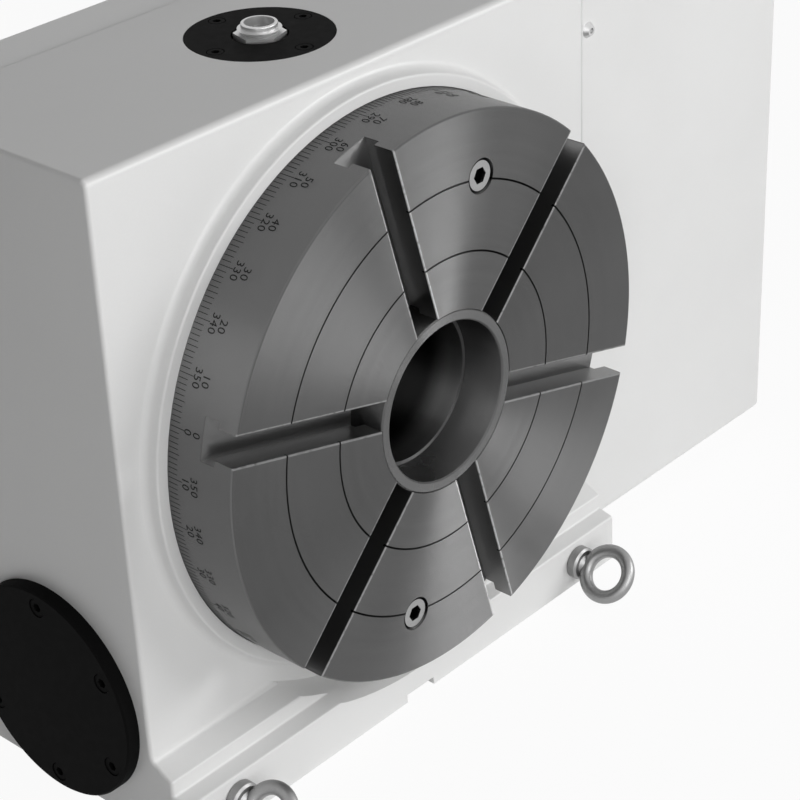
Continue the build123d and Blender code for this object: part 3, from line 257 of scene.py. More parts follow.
class Shader(Tree):
    """The node tree of one material, with a principled surface."""

    def __init__(self, name: str) -> None:
        """Makes the material, its surface and its output.

        Args:
            name: the material's name.
        """
        self.material = bpy.data.materials.new(name)
        self.material.use_nodes = True
        super().__init__(self.material.node_tree)
        self.surface = self.node("ShaderNodeBsdfPrincipled")
        output = self.node("ShaderNodeOutputMaterial")
        self.tree.links.new(self.surface.outputs[0], output.inputs["Surface"])
        self.place = self.wire("ShaderNodeTexCoord", output="Object")
        split = self.node("ShaderNodeSeparateXYZ", inputs={0: self.place})
        self.x, self.y, self.z = (Wire(self, socket) for socket in split.outputs)

    def radius(self) -> Wire:
        """Distance from the spindle's axis in metres."""
        return (self.x * self.x + self.z * self.z).root()

    def set(self, **values: Any) -> None:
        """Feeds sockets of the surface; a socket's spaces are written as underscores."""
        for name, value in values.items():
            self.feed(self.surface.inputs[name.replace("_", " ")], value)

    def noise(self, size: float, detail: float = 3.0, roughness: float = 0.5) -> Wire:
        """Noise between 0 and 1, read at the object's own place.

        Args:
            size: width of its features in millimetres.
            detail: number of finer layers.
            roughness: weight of the finer layers.

        Returns:
            The noise value.
        """
        inputs = {"Vector": self.place, "Scale": 1 / (size * MM), "Detail": detail, "Roughness": roughness}
        return self.wire("ShaderNodeTexNoise", {}, inputs, "Fac")

    def line_noise(self, along: Wire, size: float, detail: float = 4.0, roughness: float = 0.6) -> Wire:
        """Noise that changes only with one value, for tool marks.

        Args:
            along: the value in metres.
            size: width of the marks in millimetres.
            detail: number of finer layers.
            roughness: weight of the finer layers.

        Returns:
            The noise value.
        """
        inputs = {"W": along, "Scale": 1 / (size * MM), "Detail": detail, "Roughness": roughness}
        return self.wire("ShaderNodeTexNoise", {"noise_dimensions": "1D"}, inputs, "Fac")

    def grains(self) -> Wire:
        """An even chance between 0 and 1, another at every point of the surface."""
        inputs = {"Vector": self.place}
        return self.wire("ShaderNodeTexWhiteNoise", {"noise_dimensions": "3D"}, inputs, "Value")

    def mix(self, factor: Any, low: Any, high: Any) -> Wire:
        """Blends two colours.

        Args:
            factor: 0 for low, 1 for high.
            low: a colour or a wire.
            high: a colour or a wire.

        Returns:
            The blended colour.
        """
        pair = [(*value, 1.0) if isinstance(value, tuple) else value for value in (low, high)]
        inputs = {0: factor, **dict(zip(MIX_COLOURS, pair))}
        return self.wire("ShaderNodeMix", {"data_type": "RGBA"}, inputs, MIX_RESULT)

    def vector(self, operation: str, inputs: Mapping[Any, Any], output: Any = 0) -> Wire:
        """Adds one Vector Math node.

        Args:
            operation: the node's operation.
            inputs: values or wires of its sockets.
            output: name or index of the output to return.

        Returns:
            The output as a wire.
        """
        return self.wire("ShaderNodeVectorMath", {"operation": operation}, inputs, output)

    def relief(self, height: Wire, depth: float) -> None:
        """Gives the surface a bump.

        Args:
            height: wire between 0 and 1.
            depth: height of the relief in millimetres.
        """
        inputs = {"Height": height, "Distance": depth * MM, "Strength": 1.0}
        self.set(Normal=self.wire("ShaderNodeBump", {}, inputs, "Normal"))

    def grooved(self, slope: Wire) -> None:
        """Tilts the normal across the rings that a lathe leaves about the spindle.

        Args:
            slope: the tangent of the tilt, from groove to groove.
        """
        along = self.wire("ShaderNodeCombineXYZ", {}, {0: 0.0 - self.z, 2: self.x})
        turn = {"vector_type": "VECTOR", "convert_from": "OBJECT", "convert_to": "WORLD"}
        ring = self.vector("NORMALIZE", {0: self.wire("ShaderNodeVectorTransform", turn, {0: along})})
        normal = self.wire("ShaderNodeNewGeometry", output="Normal")
        tilt = self.vector("SCALE", {0: self.vector("CROSS_PRODUCT", {0: normal, 1: ring}), 3: slope})
        self.set(Normal=self.vector("NORMALIZE", {0: self.vector("ADD", {0: normal, 1: tilt})}))


def shade(colour: Colour, factor: float) -> Colour:
    """The colour made lighter or darker by a factor."""
    return tuple(min(1.0, channel * factor) for channel in colour)


def grey(value: float) -> Colour:
    """A neutral grey."""
    return (value, value, value)


@dataclass(frozen=True)
class Finish:
    """What all finishes share: a name, a colour and how shiny it is."""

    name: str
    colour: Colour
    roughness: float = 0.4
    metallic: float = 0.0
    specular: float = 0.5

    def dress(self, shader: Shader) -> None:
        """Adds the detail of this finish; each kind of finish has its own."""
        raise NotImplementedError

    def tinted(self, shader: Shader, tone: Wire, share: float) -> Wire:
        """The colour, darker by a share where the tone is 0 and lighter by it where it is 1."""
        return shader.mix(tone, shade(self.colour, 1 - share), shade(self.colour, 1 + share))

    def build(self) -> bpy.types.Material:
        """Makes the material.

        Returns:
            The finished material.
        """
        shader = Shader(self.name)
        shader.set(Metallic=self.metallic, Specular_IOR_Level=self.specular)
        self.dress(shader)
        return shader.material


@dataclass(frozen=True)
class Enamel(Finish):
    """Sprayed machine enamel: faint orange peel, uneven gloss and a little grime."""

    peel: float = 1.6
    peel_depth: float = 0.012
    cloud: float = 90.0
    speck: float = 0.9
    speck_share: float = 0.3
    clean: tuple[float, float] = (0.3, 0.75)
    grime: float = 0.04
    gloss_swing: float = 0.12
    coat: float = 0.15
    coat_roughness: float = 0.25

    def dress(self, shader: Shader) -> None:
        """Colour clouds, orange peel and gloss of the paint.

        Args:
            shader: the material being made.
        """
        clouds = shader.noise(self.cloud, detail=4)
        specks = shader.noise(self.speck, detail=2)
        worn = clouds * (1 - self.speck_share) + specks * self.speck_share
        colour = shader.mix(worn.ramp(*self.clean), shade(self.colour, 1 - self.grime), self.colour)
        shader.set(Base_Color=colour)
        shader.set(Roughness=self.roughness + clouds.centred() * self.gloss_swing)
        shader.set(Coat_Weight=self.coat, Coat_Roughness=self.coat_roughness)
        shader.relief(shader.noise(self.peel, detail=2), self.peel_depth)


@dataclass(frozen=True)
class Turned(Finish):
    """Steel turned on a lathe about the spindle, with rings that fan out the light.

    The slopes of the grooves lie between flank and flank + spread, on both sides. Where a shade depth is
    given, the colour changes by its gain from there on inwards: painted shade deep in a bore or socket.
    """

    flank: float = 0.6
    spread: float = 0.28
    band: float = 5.0
    band_share: float = 0.16
    cloud: float = 45.0
    cloud_share: float = 0.3
    darkest: float = 0.62
    lightest: float = 1.4
    gloss_swing: float = 0.1
    # painted shade: the colour changes by the gain from this depth inwards, deep in a bore or socket
    deep: float = 0.0
    deep_start: float = 0.7
    deep_gain: float = 1.0

    def dress(self, shader: Shader) -> None:
        """Colour of the turned steel, its gloss and the fan of light across its grooves.

        Args:
            shader: the material being made.
        """
        clouds = shader.noise(self.cloud, detail=4)
        shader.set(Base_Color=self.turned_colour(shader, clouds))
        shader.set(Roughness=self.roughness + clouds.centred() * self.gloss_swing)
        chance = shader.grains() * 2 - 1
        shader.grooved(chance * self.spread + chance.sign() * self.flank)

    def turned_colour(self, shader: Shader, clouds: Wire) -> Wire:
        """Bands of the cut, soft clouds and painted shade at the bottom of a bore.

        Args:
            shader: the material being made.
            clouds: slow noise between 0 and 1.

        Returns:
            The colour.
        """
        bands = shader.line_noise(shader.radius() + shader.y, self.band, detail=2)
        tone = 0.5 + bands.centred() * self.band_share + clouds.centred() * self.cloud_share
        dark, light = shade(self.colour, self.darkest), shade(self.colour, self.lightest)
        colour = shader.mix(tone.ramp(0.0, 1.0), dark, light)
        # painted shade: darker deeper inside the bore or socket
        if self.deep:
            painted_shade = (shader.y / MM).ramp(self.deep_start * self.deep, self.deep)
            colour = shader.mix(painted_shade, colour, shade(self.colour, self.deep_gain))
        return colour


@dataclass(frozen=True)
class SlottedFace(Turned):
    """The platter's turned steel: a rim painted lighter as a painted reflection, milled slots with broken
    edges that are partly worn and partly painted as a highlight, and scribed circles.

    Pairs give where a fade starts and ends, as shares of the slot's broken edge or of the noise.
    """

    face_r: float = 154.4
    # painted reflection: the rim's colour is made lighter by this gain
    rim_gain: float = 1.55
    slots: int = 6
    slot_angle: float = 165.24
    slot_half: float = 8.0
    slot_edge: float = 0.8
    milled: float = 0.22
    # slot edges painted brighter: partly wear, partly a painted highlight
    wear_gain: float = 3.2
    wear_share: float = 0.85
    wear_side: tuple[float, float] = (0.54, 1.08)
    wear_depth: tuple[float, float] = (0.5, 1.3)
    patch: float = 3.0
    patch_edge: tuple[float, float] = (0.25, 0.5)
    scribed: tuple[float, ...] = (80.7, 118.1)
    scribe_half: float = 0.55
    scribe_depth: float = 2.0
    scribe_gain: float = 0.2

    def turned_colour(self, shader: Shader, clouds: Wire) -> Wire:
        """Adds a painted reflection on the rim, worn edges with a painted highlight, slots and circles to
        the colour of the turned steel.

        Args:
            shader: the material being made.
            clouds: slow noise between 0 and 1.

        Returns:
            The colour.
        """
        colour = super().turned_colour(shader, clouds)
        radius = shader.radius()
        # painted reflection: lighter colour on the rim
        colour = shader.mix(radius > self.face_r * MM, colour, shade(self.colour, self.rim_gain))
        # painted highlight, in worn-looking patches, along the slots' broken edges
        colour = shader.mix(self.wear(shader), colour, shade(self.colour, self.wear_gain))
        inside = (shader.y > self.slot_edge * MM) * (radius < self.face_r * MM)
        colour = shader.mix(inside, colour, grey(self.milled))
        for circle in self.scribed:
            line = (abs(radius / MM - circle) < self.scribe_half) * (shader.y < self.scribe_depth * MM)
            colour = shader.mix(line, colour, shade(self.colour, self.scribe_gain))
        return colour

    def wear(self, shader: Shader) -> Wire:
        """Patches where the broken edges of the slots are worn and painted bright as a highlight.

        Args:
            shader: the material being made.

        Returns:
            How strongly an edge is worn and painted bright, and 0 elsewhere.
        """
        half_step = math.pi / self.slots
        angle = shader.z.turn_from(shader.x) - math.radians(self.slot_angle)
        across = abs(shader.radius() * angle.wrapped(half_step, -half_step).sine()) / MM
        from_edge = abs(across - (self.slot_half + self.slot_edge / 2)) / self.slot_edge
        depth = shader.y / (self.slot_edge * MM)
        patches = shader.noise(self.patch).ramp(*self.patch_edge)
        edge = (1 - from_edge.ramp(*self.wear_side)) * (1 - depth.ramp(*self.wear_depth))
        return edge * patches * self.wear_share


@dataclass(frozen=True)
class Ground(Finish):
    """Ground or machined steel: fine hairlines, faint stains."""

    hairline: float = 0.25
    hairline_share: float = 0.4
    depth: float = 0.002
    cloud: float = 14.0
    stain: float = 0.12
    gloss_swing: float = 0.1

    def dress(self, shader: Shader) -> None:
        """Hairlines that follow the spindle's rings and soft stains.

        Args:
            shader: the material being made.
        """
        lines = shader.line_noise(shader.radius() + shader.y, self.hairline)
        stains = shader.noise(self.cloud, detail=4)
        tone = lines * self.hairline_share + stains * (1 - self.hairline_share)
        shader.set(Base_Color=self.tinted(shader, tone, self.stain))
        shader.set(Roughness=self.roughness + (lines.centred() + stains.centred()) * self.gloss_swing)
        shader.relief(lines, self.depth)


@dataclass(frozen=True)
class Plated(Finish):
    """Plated or blackened steel: fine pitting and uneven sheen."""

    pit: float = 0.35
    pit_share: float = 0.35
    depth: float = 0.006
    cloud: float = 5.0
    uneven: float = 0.2
    gloss_swing: float = 0.2

    def dress(self, shader: Shader) -> None:
        """Pits and a cloudy sheen.

        Args:
            shader: the material being made.
        """
        pits = shader.noise(self.pit, roughness=0.6)
        clouds = shader.noise(self.cloud)
        tone = pits * self.pit_share + clouds * (1 - self.pit_share)
        shader.set(Base_Color=self.tinted(shader, tone, self.uneven))
        shader.set(Roughness=self.roughness + clouds.centred() * self.gloss_swing)
        shader.relief(pits, self.depth)


@dataclass(frozen=True)
class Grained(Finish):
    """Cast iron, rubber and moulded plastic: an even grain all over."""

    grain: float = 0.6
    grain_share: float = 0.5
    depth: float = 0.03
    cloud: float = 25.0
    uneven: float = 0.15
    gloss_swing: float = 0.15

    def dress(self, shader: Shader) -> None:
        """An even grain with slow changes of tone.

        Args:
            shader: the material being made.
        """
        grain = shader.noise(self.grain, detail=4, roughness=0.6)
        clouds = shader.noise(self.cloud)
        tone = grain * self.grain_share + clouds * (1 - self.grain_share)
        shader.set(Base_Color=self.tinted(shader, tone, self.uneven))
        shader.set(Roughness=self.roughness + grain.centred() * self.gloss_swing)
        shader.relief(grain, self.depth)


@dataclass(frozen=True)
class Glass(Finish):
    """Dark glass of the plug, with a dusty film."""

    dust: float = 2.5
    clear_gain: float = 0.7
    dusty_gain: float = 1.6
    dulling: float = 0.2
    coat: float = 0.6
    coat_roughness: float = 0.05

    def dress(self, shader: Shader) -> None:
        """A dusty film over dark glass.

        Args:
            shader: the material being made.
        """
        dust = shader.noise(self.dust, detail=4)
        clear, dusty = shade(self.colour, self.clear_gain), shade(self.colour, self.dusty_gain)
        shader.set(Base_Color=shader.mix(dust, clear, dusty))
        shader.set(Roughness=self.roughness + dust * self.dulling)
        shader.set(Coat_Weight=self.coat, Coat_Roughness=self.coat_roughness)


class Paint(Enum):
    """The finishes of the table, one for each kind of surface."""

    CASTING = Enamel("casting_enamel", (0.80, 0.80, 0.795), 0.42)
    SHEET = Enamel("housing_enamel", (0.80, 0.80, 0.795), 0.36, peel=1.1, peel_depth=0.008)
    # platter: its rim is painted lighter as a painted reflection, and its slot edges carry a painted
    # highlight
    PLATTER = SlottedFace("turned_platter_steel", grey(0.09), 0.3, 1.0)
    BUSH = Turned("ground_bush_steel", grey(0.13), 0.26, 1.0, flank=0.3, deep=40.0)
    # painted shade: almost black deep in the bore
    BORE = Turned("bored_steel", grey(0.12), 0.3, 1.0, flank=0.3, deep=50.0, deep_gain=0.05)
    SPINDLE = Ground("spindle_steel", grey(0.16), 0.3, 1.0, hairline=0.6, depth=0.006)
    BEARING = Ground("bearing_steel", grey(0.6), 0.15, 1.0)
    BRAKE = Ground("brake_steel", grey(0.5), 0.3, 1.0, hairline=0.4)
    WORM = Plated("worm_steel", grey(0.5), 0.25, 1.0)
    SCREW_BRIGHT = Plated("bright_screw", grey(0.62), 0.22, 1.0)
    # painted shade: dark inside the screw's socket
    SCREW_PLATTER = Turned("socket_screw", grey(0.34), 0.24, 1.0, flank=0.0, deep=3.0, deep_gain=0.12)
    SCREW_BLACK = Plated("black_screw", grey(0.05), 0.42, 0.6)
    BLACK = Plated("black_plate", grey(0.005), 0.6, 0.0, 0.02, pit=0.5, depth=0.01, uneven=0.3)
    ZINC = Plated("zinc_eye", grey(0.3), 0.42, 1.0, pit=0.8, depth=0.03)
    PLUG = Plated("plug_steel", grey(0.74), 0.26, 1.0)
    BRONZE = Ground("worm_bronze", (0.66, 0.45, 0.2), 0.3, 1.0)
    IRON = Grained("grey_iron", grey(0.22), 0.6, 0.4, grain=0.8)
    MOTOR = Grained("motor_enamel", grey(0.04), 0.45)
    RUBBER = Grained("seal_rubber", grey(0.03), 0.6, grain=0.3, depth=0.01)
    PLASTIC = Grained("black_plastic", grey(0.04), 0.5, grain=0.4, depth=0.02)
    ALUMINIUM = Ground("pulley_aluminium", grey(0.7), 0.3, 1.0)
    LENS = Glass("plug_glass", grey(0.12), 0.1)
    MARKING = Grained("engraved_marking", grey(0.02), 0.7, specular=0.1, grain=0.2, depth=0.01)

    def material(self) -> bpy.types.Material:
        """The material of this finish, made on first use."""
        return bpy.data.materials.get(self.value.name) or self.value.build()


def dress(obj: bpy.types.Object, paint: Paint) -> None:
    """Gives an object one finish all over."""
    obj.data.materials.clear()
    obj.data.materials.append(paint.material())


def new_object(name: str, mesh: bpy.types.Mesh) -> bpy.types.Object:
    """Puts a mesh in the scene as an object at the origin.

    Args:
        name: the object's name.
        mesh: its mesh.

    Returns:
        The object.
    """
    obj = bpy.data.objects.new(name, mesh)
    bpy.context.scene.collection.objects.link(obj)
    return obj


def evaluated_mesh(obj: bpy.types.Object) -> bpy.types.Mesh:
    """A plain mesh of an object as it is after its modifiers or text settings."""
    return bpy.data.meshes.new_from_object(obj.evaluated_get(bpy.context.evaluated_depsgraph_get()))


def smooth_copy(node: str, name: str, sharp: float) -> bpy.types.Object:
    """A welded, smooth-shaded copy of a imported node, to stand in its place.

    Args:
        node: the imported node.
        name: name of the copy.
        sharp: angle in degrees over which an edge stays sharp.

    Returns:
        The copy.
    """
    mesh = bpy.data.objects[node].data.copy()
    mesh.name = name
    shell = bmesh.new()
    shell.from_mesh(mesh)
    bmesh.ops.remove_doubles(shell, verts=shell.verts, dist=WELD)
    for face in shell.faces:
        face.smooth = True
    for edge in shell.edges:
        edge.smooth = len(edge.link_faces) == 2 and edge.calc_face_angle(0) < math.radians(sharp)
    shell.to_mesh(mesh)
    shell.free()
    return new_object(name, mesh)


@dataclass
class PlatterScale:
    """The degree scale on the platter's rim: ticks and two rows of numbers.

    The ticks start at root, behind the face, and the numbers of each row are centred on row_near
    and row_far. Every fifth and every tenth tick is longer.
    """

    radius: float = 155.0
    zero: float = 165.24
    root: float = 43.3
    ticks: int = 360
    tick_len: float = 6.2
    five_len: float = 7.2
    ten_len: float = 9.3
    five: int = 5
    ten: int = 10
    line: float = 0.34
    proud: float = 0.04
    digit_h: float = 4.7
    digit_share: float = 0.7
    digit_gap: float = 1.08
    digit_steps: int = 3
    row_near: float = 31.7
    row_far: float = 25.8
    step: int = 10
    weld: float = 1e-7

    def tick_tree(self) -> bpy.types.NodeTree:
        """Builds the node tree that lays ticks round the rim.

        Returns:
            The tree, with named inputs for its sizes.
        """
        tree = bpy.data.node_groups.new("rim_ticks", "GeometryNodeTree")
        graph = Tree(tree)
        sizes = ("Radius", "Zero", "Root", "Short", "Middle", "Long", "Line", "Proud")
        tree.interface.new_socket("Geometry", in_out="INPUT", socket_type="NodeSocketGeometry")
        tree.interface.new_socket("Count", in_out="INPUT", socket_type="NodeSocketInt")
        for size in sizes:
            tree.interface.new_socket(size, in_out="INPUT", socket_type="NodeSocketFloat")
        tree.interface.new_socket("Finish", in_out="INPUT", socket_type="NodeSocketMaterial")
        tree.interface.new_socket("Geometry", in_out="OUTPUT", socket_type="NodeSocketGeometry")
        given = graph.node("NodeGroupInput").outputs
        radius, zero, root, short, middle, long, line, proud = (Wire(graph, given[size]) for size in sizes)
        count = Wire(graph, given["Count"])
        index = graph.wire("GeometryNodeInputIndex")
        angle = index * (2 * math.pi) / count + zero
        length = short + index.divides(self.five) * (middle - short)
        length = length + index.divides(self.ten) * (long - middle)
        centre = {0: radius * angle.cosine(), 1: root - length / 2, 2: radius * angle.sine()}
        place = graph.wire("ShaderNodeCombineXYZ", {}, centre)
        points = graph.wire("GeometryNodePoints", {}, {"Count": count, "Position": place}, "Points")
        block = graph.wire("ShaderNodeCombineXYZ", {}, {0: proud * 2, 1: 1.0, 2: line})
        tick = graph.wire("GeometryNodeMeshCube", {}, {"Size": block}, "Mesh")
        turned = graph.wire("ShaderNodeCombineXYZ", {}, {1: 0.0 - angle})
        spin = graph.wire("FunctionNodeEulerToRotation", {}, {0: turned})
        stretch = graph.wire("ShaderNodeCombineXYZ", {}, {0: 1.0, 1: length, 2: 1.0})
        placing = {"Points": points, "Instance": tick, "Rotation": spin, "Scale": stretch}
        placed = graph.wire("GeometryNodeInstanceOnPoints", {}, placing)
        solid = graph.wire("GeometryNodeRealizeInstances", {}, {"Geometry": placed})
        finish = {"Geometry": solid, "Material": Wire(graph, given["Finish"])}
        graph.node("NodeGroupOutput", {}, {0: graph.wire("GeometryNodeSetMaterial", {}, finish)})
        return tree

    def make_ticks(self) -> bpy.types.Object:
        """Lays the ticks round the rim.

        Returns:
            The ticks as one plain mesh object.
        """
        values = {
            "Count": self.ticks,
            "Radius": self.radius * MM,
            "Zero": math.radians(self.zero),
            "Root": self.root * MM,
            "Short": self.tick_len * MM,
            "Middle": self.five_len * MM,
            "Long": self.ten_len * MM,
            "Line": self.line * MM,
            "Proud": self.proud * MM,
            "Finish": Paint.MARKING.material(),
        }
        return grown("scale_ticks", self.tick_tree(), values)

    def number_mesh(self, text: str) -> bpy.types.Mesh:
        """A flat number, centred on the origin, at its real height in metres.

        Args:
            text: the digits.

        Returns:
            The number's mesh, in its own plane.
        """
        curve = bpy.data.curves.new("number", "FONT")
        curve.body = text
        curve.align_x = "CENTER"
        curve.align_y = "CENTER"
        curve.size = self.digit_h * MM / self.digit_share
        curve.space_character = self.digit_gap
        curve.resolution_u = self.digit_steps
        curve.extrude = self.proud * MM
        holder = bpy.data.objects.new("number", curve)
        bpy.context.scene.collection.objects.link(holder)
        bpy.context.view_layer.update()
        mesh = evaluated_mesh(holder)
        bpy.data.objects.remove(holder)
        bpy.data.curves.remove(curve)
        return mesh

    def make_numbers(self) -> bpy.types.Object:
        """Wraps both rows of numbers round the rim.

        Returns:
            All the numbers as one mesh object.
        """
        shell = bmesh.new()
        for turn in range(0, FULL_TURN, self.step):
            self.wrap_number(shell, turn, turn, self.row_near)
            self.wrap_number(shell, (FULL_TURN - turn) % FULL_TURN, turn, self.row_far)
        bmesh.ops.remove_doubles(shell, verts=shell.verts, dist=self.weld)
        bmesh.ops.recalc_face_normals(shell, faces=shell.faces)
        mesh = bpy.data.meshes.new("scale_numbers")
        shell.to_mesh(mesh)
        shell.free()
        obj = new_object("scale_numbers", mesh)
        dress(obj, Paint.MARKING)
        return obj

    def wrap_number(self, shell: bmesh.types.BMesh, value: int, turn: float, row: float) -> None:
        """Bends one number round the rim.

        Args:
            shell: the mesh to which the number is added.
            value: the number.
            turn: its place on the scale in degrees.
            row: how far back its middle lies in millimetres.
        """
        mesh = self.number_mesh(str(value))
        for vert in mesh.vertices:
            angle = math.radians(self.zero + turn) + vert.co.x / (self.radius * MM)
            reach = self.radius * MM + vert.co.z
            vert.co = (reach * math.cos(angle), row * MM - vert.co.y, reach * math.sin(angle))
        shell.from_mesh(mesh)
        bpy.data.meshes.remove(mesh)

    def build(self) -> None:
        """Makes the scale and lets it ride on the platter."""
        for piece in (self.make_ticks(), self.make_numbers()):
            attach(piece, "platter")
            log.info("%s: %d faces", piece.name, len(piece.data.polygons))


def grown(name: str, tree: bpy.types.NodeTree, values: Mapping[str, Any]) -> bpy.types.Object:
    """Runs a geometry tree once and keeps its result as a plain mesh.

    Args:
        name: name of the object.
        tree: the geometry tree.
        values: its inputs by name.

    Returns:
        The object, with no modifier left.
    """
    obj = new_object(name, bpy.data.meshes.new(name))
    modifier = obj.modifiers.new(name, "NODES")
    modifier.node_group = tree
    sockets = {item.name: item.identifier for item in tree.interface.items_tree if item.in_out == "INPUT"}
    for key, value in values.items():
        modifier[sockets[key]] = value
    bpy.context.view_layer.update()
    result = evaluated_mesh(obj)
    obj.modifiers.clear()
    obj.data = result
    return obj


@dataclass
class Assembly:
    """A sub-assembly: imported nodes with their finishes, and smooth skins over those that are seen.

    The skins ride on the body and replace their nodes. Their edges stay sharp over sharp degrees.
    """

    body: str = "housing"
    skins: tuple[str, ...] = ()
    sharp: float = 32.0

    def finishes(self) -> dict[str, Paint]:
        """Lists the finishes; each sub-assembly has its own."""
        raise NotImplementedError

    def make_skin(self, node: str, paint: Paint) -> None:
        """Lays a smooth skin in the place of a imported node.

        Args:
            node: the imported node.
            paint: its finish.
        """
        skin = smooth_copy(node, f"{node}_skin", self.sharp)
        dress(skin, paint)
        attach(skin, self.body)
        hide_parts(node)

    def build(self, slots: Mapping[str, str]) -> None:
        """Dresses the nodes and makes the skins.

        Args:
            slots: the record's material slot of each node; not used.
        """
        for node, paint in self.finishes().items():
            dress(bpy.data.objects[node], paint)
            if node in self.skins:
                self.make_skin(node, paint)
            log.info("%s: %s", node, paint.value.name)


@dataclass
class Casing(Assembly):
    """The casting with the motor housing and the covers on it."""

    skins: tuple[str, ...] = (
        "housing_casting",
        "motor_housing",
        "rear_cover",
        "worm_cover",
        "cover_button_screws",
    )

    def finishes(self) -> dict[str, Paint]:
        """Enamel on the casting and the sheet metal, black on the worm cover.

        Returns:
            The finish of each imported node.
        """
        return {
            "housing_casting": Paint.CASTING,
            "motor_housing": Paint.SHEET,
            "rear_cover": Paint.SHEET,
            "worm_cover": Paint.BLACK,
            "worm_cover_screws": Paint.BLACK,
            "rear_cover_screws": Paint.SCREW_BLACK,
            "cover_button_screws": Paint.SCREW_BRIGHT,
            "rear_seal": Paint.RUBBER,
            "cable_gland": Paint.PLASTIC,
        }


@dataclass
class TopPlate(Assembly):
    """The round plate on top and the plug with its glass."""

    skins: tuple[str, ...] = ("top_plate", "filler_plug")

    def finishes(self) -> dict[str, Paint]:
        """A black plate with a bright plug.

        Returns:
            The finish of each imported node.
        """
        return {
            "top_plate": Paint.BLACK,
            "top_plate_screws": Paint.BLACK,
            "filler_plug": Paint.PLUG,
            "plug_lens": Paint.LENS,
        }


@dataclass
class LiftingEyes(Assembly):
    """The two lifting eyes in the front flange."""

    skins: tuple[str, ...] = ("lifting_eye_left", "lifting_eye_right")

    def finishes(self) -> dict[str, Paint]:
        """Zinc on both eyes.

        Returns:
            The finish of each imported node.
        """
        return {node: Paint.ZINC for node in self.skins}


@dataclass
class Platter(Assembly):
    """The platter with all that turns with it: bush, spindle, worm wheel and brake disc."""

    body: str = "platter"
    skins: tuple[str, ...] = ("platter", "centre_bush", "platter_screws", "spindle")

    def finishes(self) -> dict[str, Paint]:
        """Turned steel outside, a bronze wheel on an iron hub inside.

        Returns:
            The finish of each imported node.
        """
        return {
            "platter": Paint.PLATTER,
            "centre_bush": Paint.BUSH,
            "platter_screws": Paint.SCREW_PLATTER,
            "spindle": Paint.BORE,
            "spindle_nut": Paint.SPINDLE,
            "front_bearing_inner": Paint.BEARING,
            "rear_bearing_inner": Paint.BEARING,
            "wheel_hub": Paint.IRON,
            "worm_wheel": Paint.BRONZE,
            "wheel_screws": Paint.SCREW_BLACK,
            "brake_disc": Paint.BRAKE,
            "brake_disc_screws": Paint.SCREW_BLACK,
        }


@dataclass
class Bearings(Assembly):
    """The fixed rings of the spindle's bearings, what holds them, and the rollers of all bearings."""

    def finishes(self) -> dict[str, Paint]:
        """Ground rings and rollers between machined and cast carriers.

        Returns:
            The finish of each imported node.
        """
        return {
            "front_bearing_outer": Paint.BEARING,
            "bearing_clamp_ring": Paint.SPINDLE,
            "clamp_ring_screws": Paint.SCREW_BLACK,
            "spindle_seal": Paint.RUBBER,
            "rear_bearing_outer": Paint.BEARING,
            "bearing_carrier": Paint.IRON,
            "carrier_screws": Paint.SCREW_BLACK,
            "bearing_retainer": Paint.SPINDLE,
            "retainer_screws": Paint.SCREW_BLACK,
            "front_bearing_rollers": Paint.BEARING,
            "rear_bearing_rollers": Paint.BEARING,
            "worm_bearing_rollers": Paint.BEARING,
        }


@dataclass
class Brake(Assembly):
    """The fixed ring of the spindle brake and its piston."""

    def finishes(self) -> dict[str, Paint]:
        """Ground steel on the ring and the piston.

        Returns:
            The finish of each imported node.
        """
        return {
            "brake_ring": Paint.BRAKE,
            "brake_ring_screws": Paint.SCREW_BLACK,
            "brake_piston": Paint.BRAKE,
        }


@dataclass
class Worm(Assembly):
    """The worm with its bearings, nut, seal and pulley."""

    def finishes(self) -> dict[str, Paint]:
        """Bright steel on the worm, aluminium on its pulley.

        Returns:
            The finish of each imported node.
        """
        return {
            "worm_shaft": Paint.WORM,
            "worm_bearing_inner": Paint.BEARING,
            "worm_nut": Paint.WORM,
            "driven_pulley": Paint.ALUMINIUM,
            "worm_bearing_outer": Paint.BEARING,
            "worm_seal": Paint.RUBBER,
        }


@dataclass
class Motor(Assembly):
    """The motor with its rotor, pulley, belt and bracket."""

    def finishes(self) -> dict[str, Paint]:
        """Dark enamel on the motor, machined steel on its bracket.

        Returns:
            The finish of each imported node.
        """
        return {
            "motor_rotor": Paint.SPINDLE,
            "drive_pulley": Paint.ALUMINIUM,
            "motor_body": Paint.MOTOR,
            "motor_screws": Paint.SCREW_BLACK,
            "encoder_cap": Paint.PLASTIC,
            "motor_bracket": Paint.SPINDLE,
            "bracket_posts": Paint.SPINDLE,
            "bracket_screws": Paint.SCREW_BLACK,
            "timing_belt": Paint.RUBBER,
        }


@dataclass(frozen=True)
class Softbox:
    """A rectangular lamp aimed at the table: place and sides in metres, power in watts."""

    name: str
    place: tuple[float, float, float]
    power: float
    sides: tuple[float, float]

    def build(self, target: Vector) -> None:
        """Sets up the lamp.

        Args:
            target: the point at which it is aimed.
        """
        data = bpy.data.lights.new(self.name, "AREA")
        data.energy = self.power
        data.shape = "RECTANGLE"
        data.size, data.size_y = self.sides
        lamp = bpy.data.objects.new(self.name, data)
        lamp.location = self.place
        lamp.rotation_euler = (target - Vector(self.place)).to_track_quat("-Z", "Y").to_euler()
        bpy.context.scene.collection.objects.link(lamp)


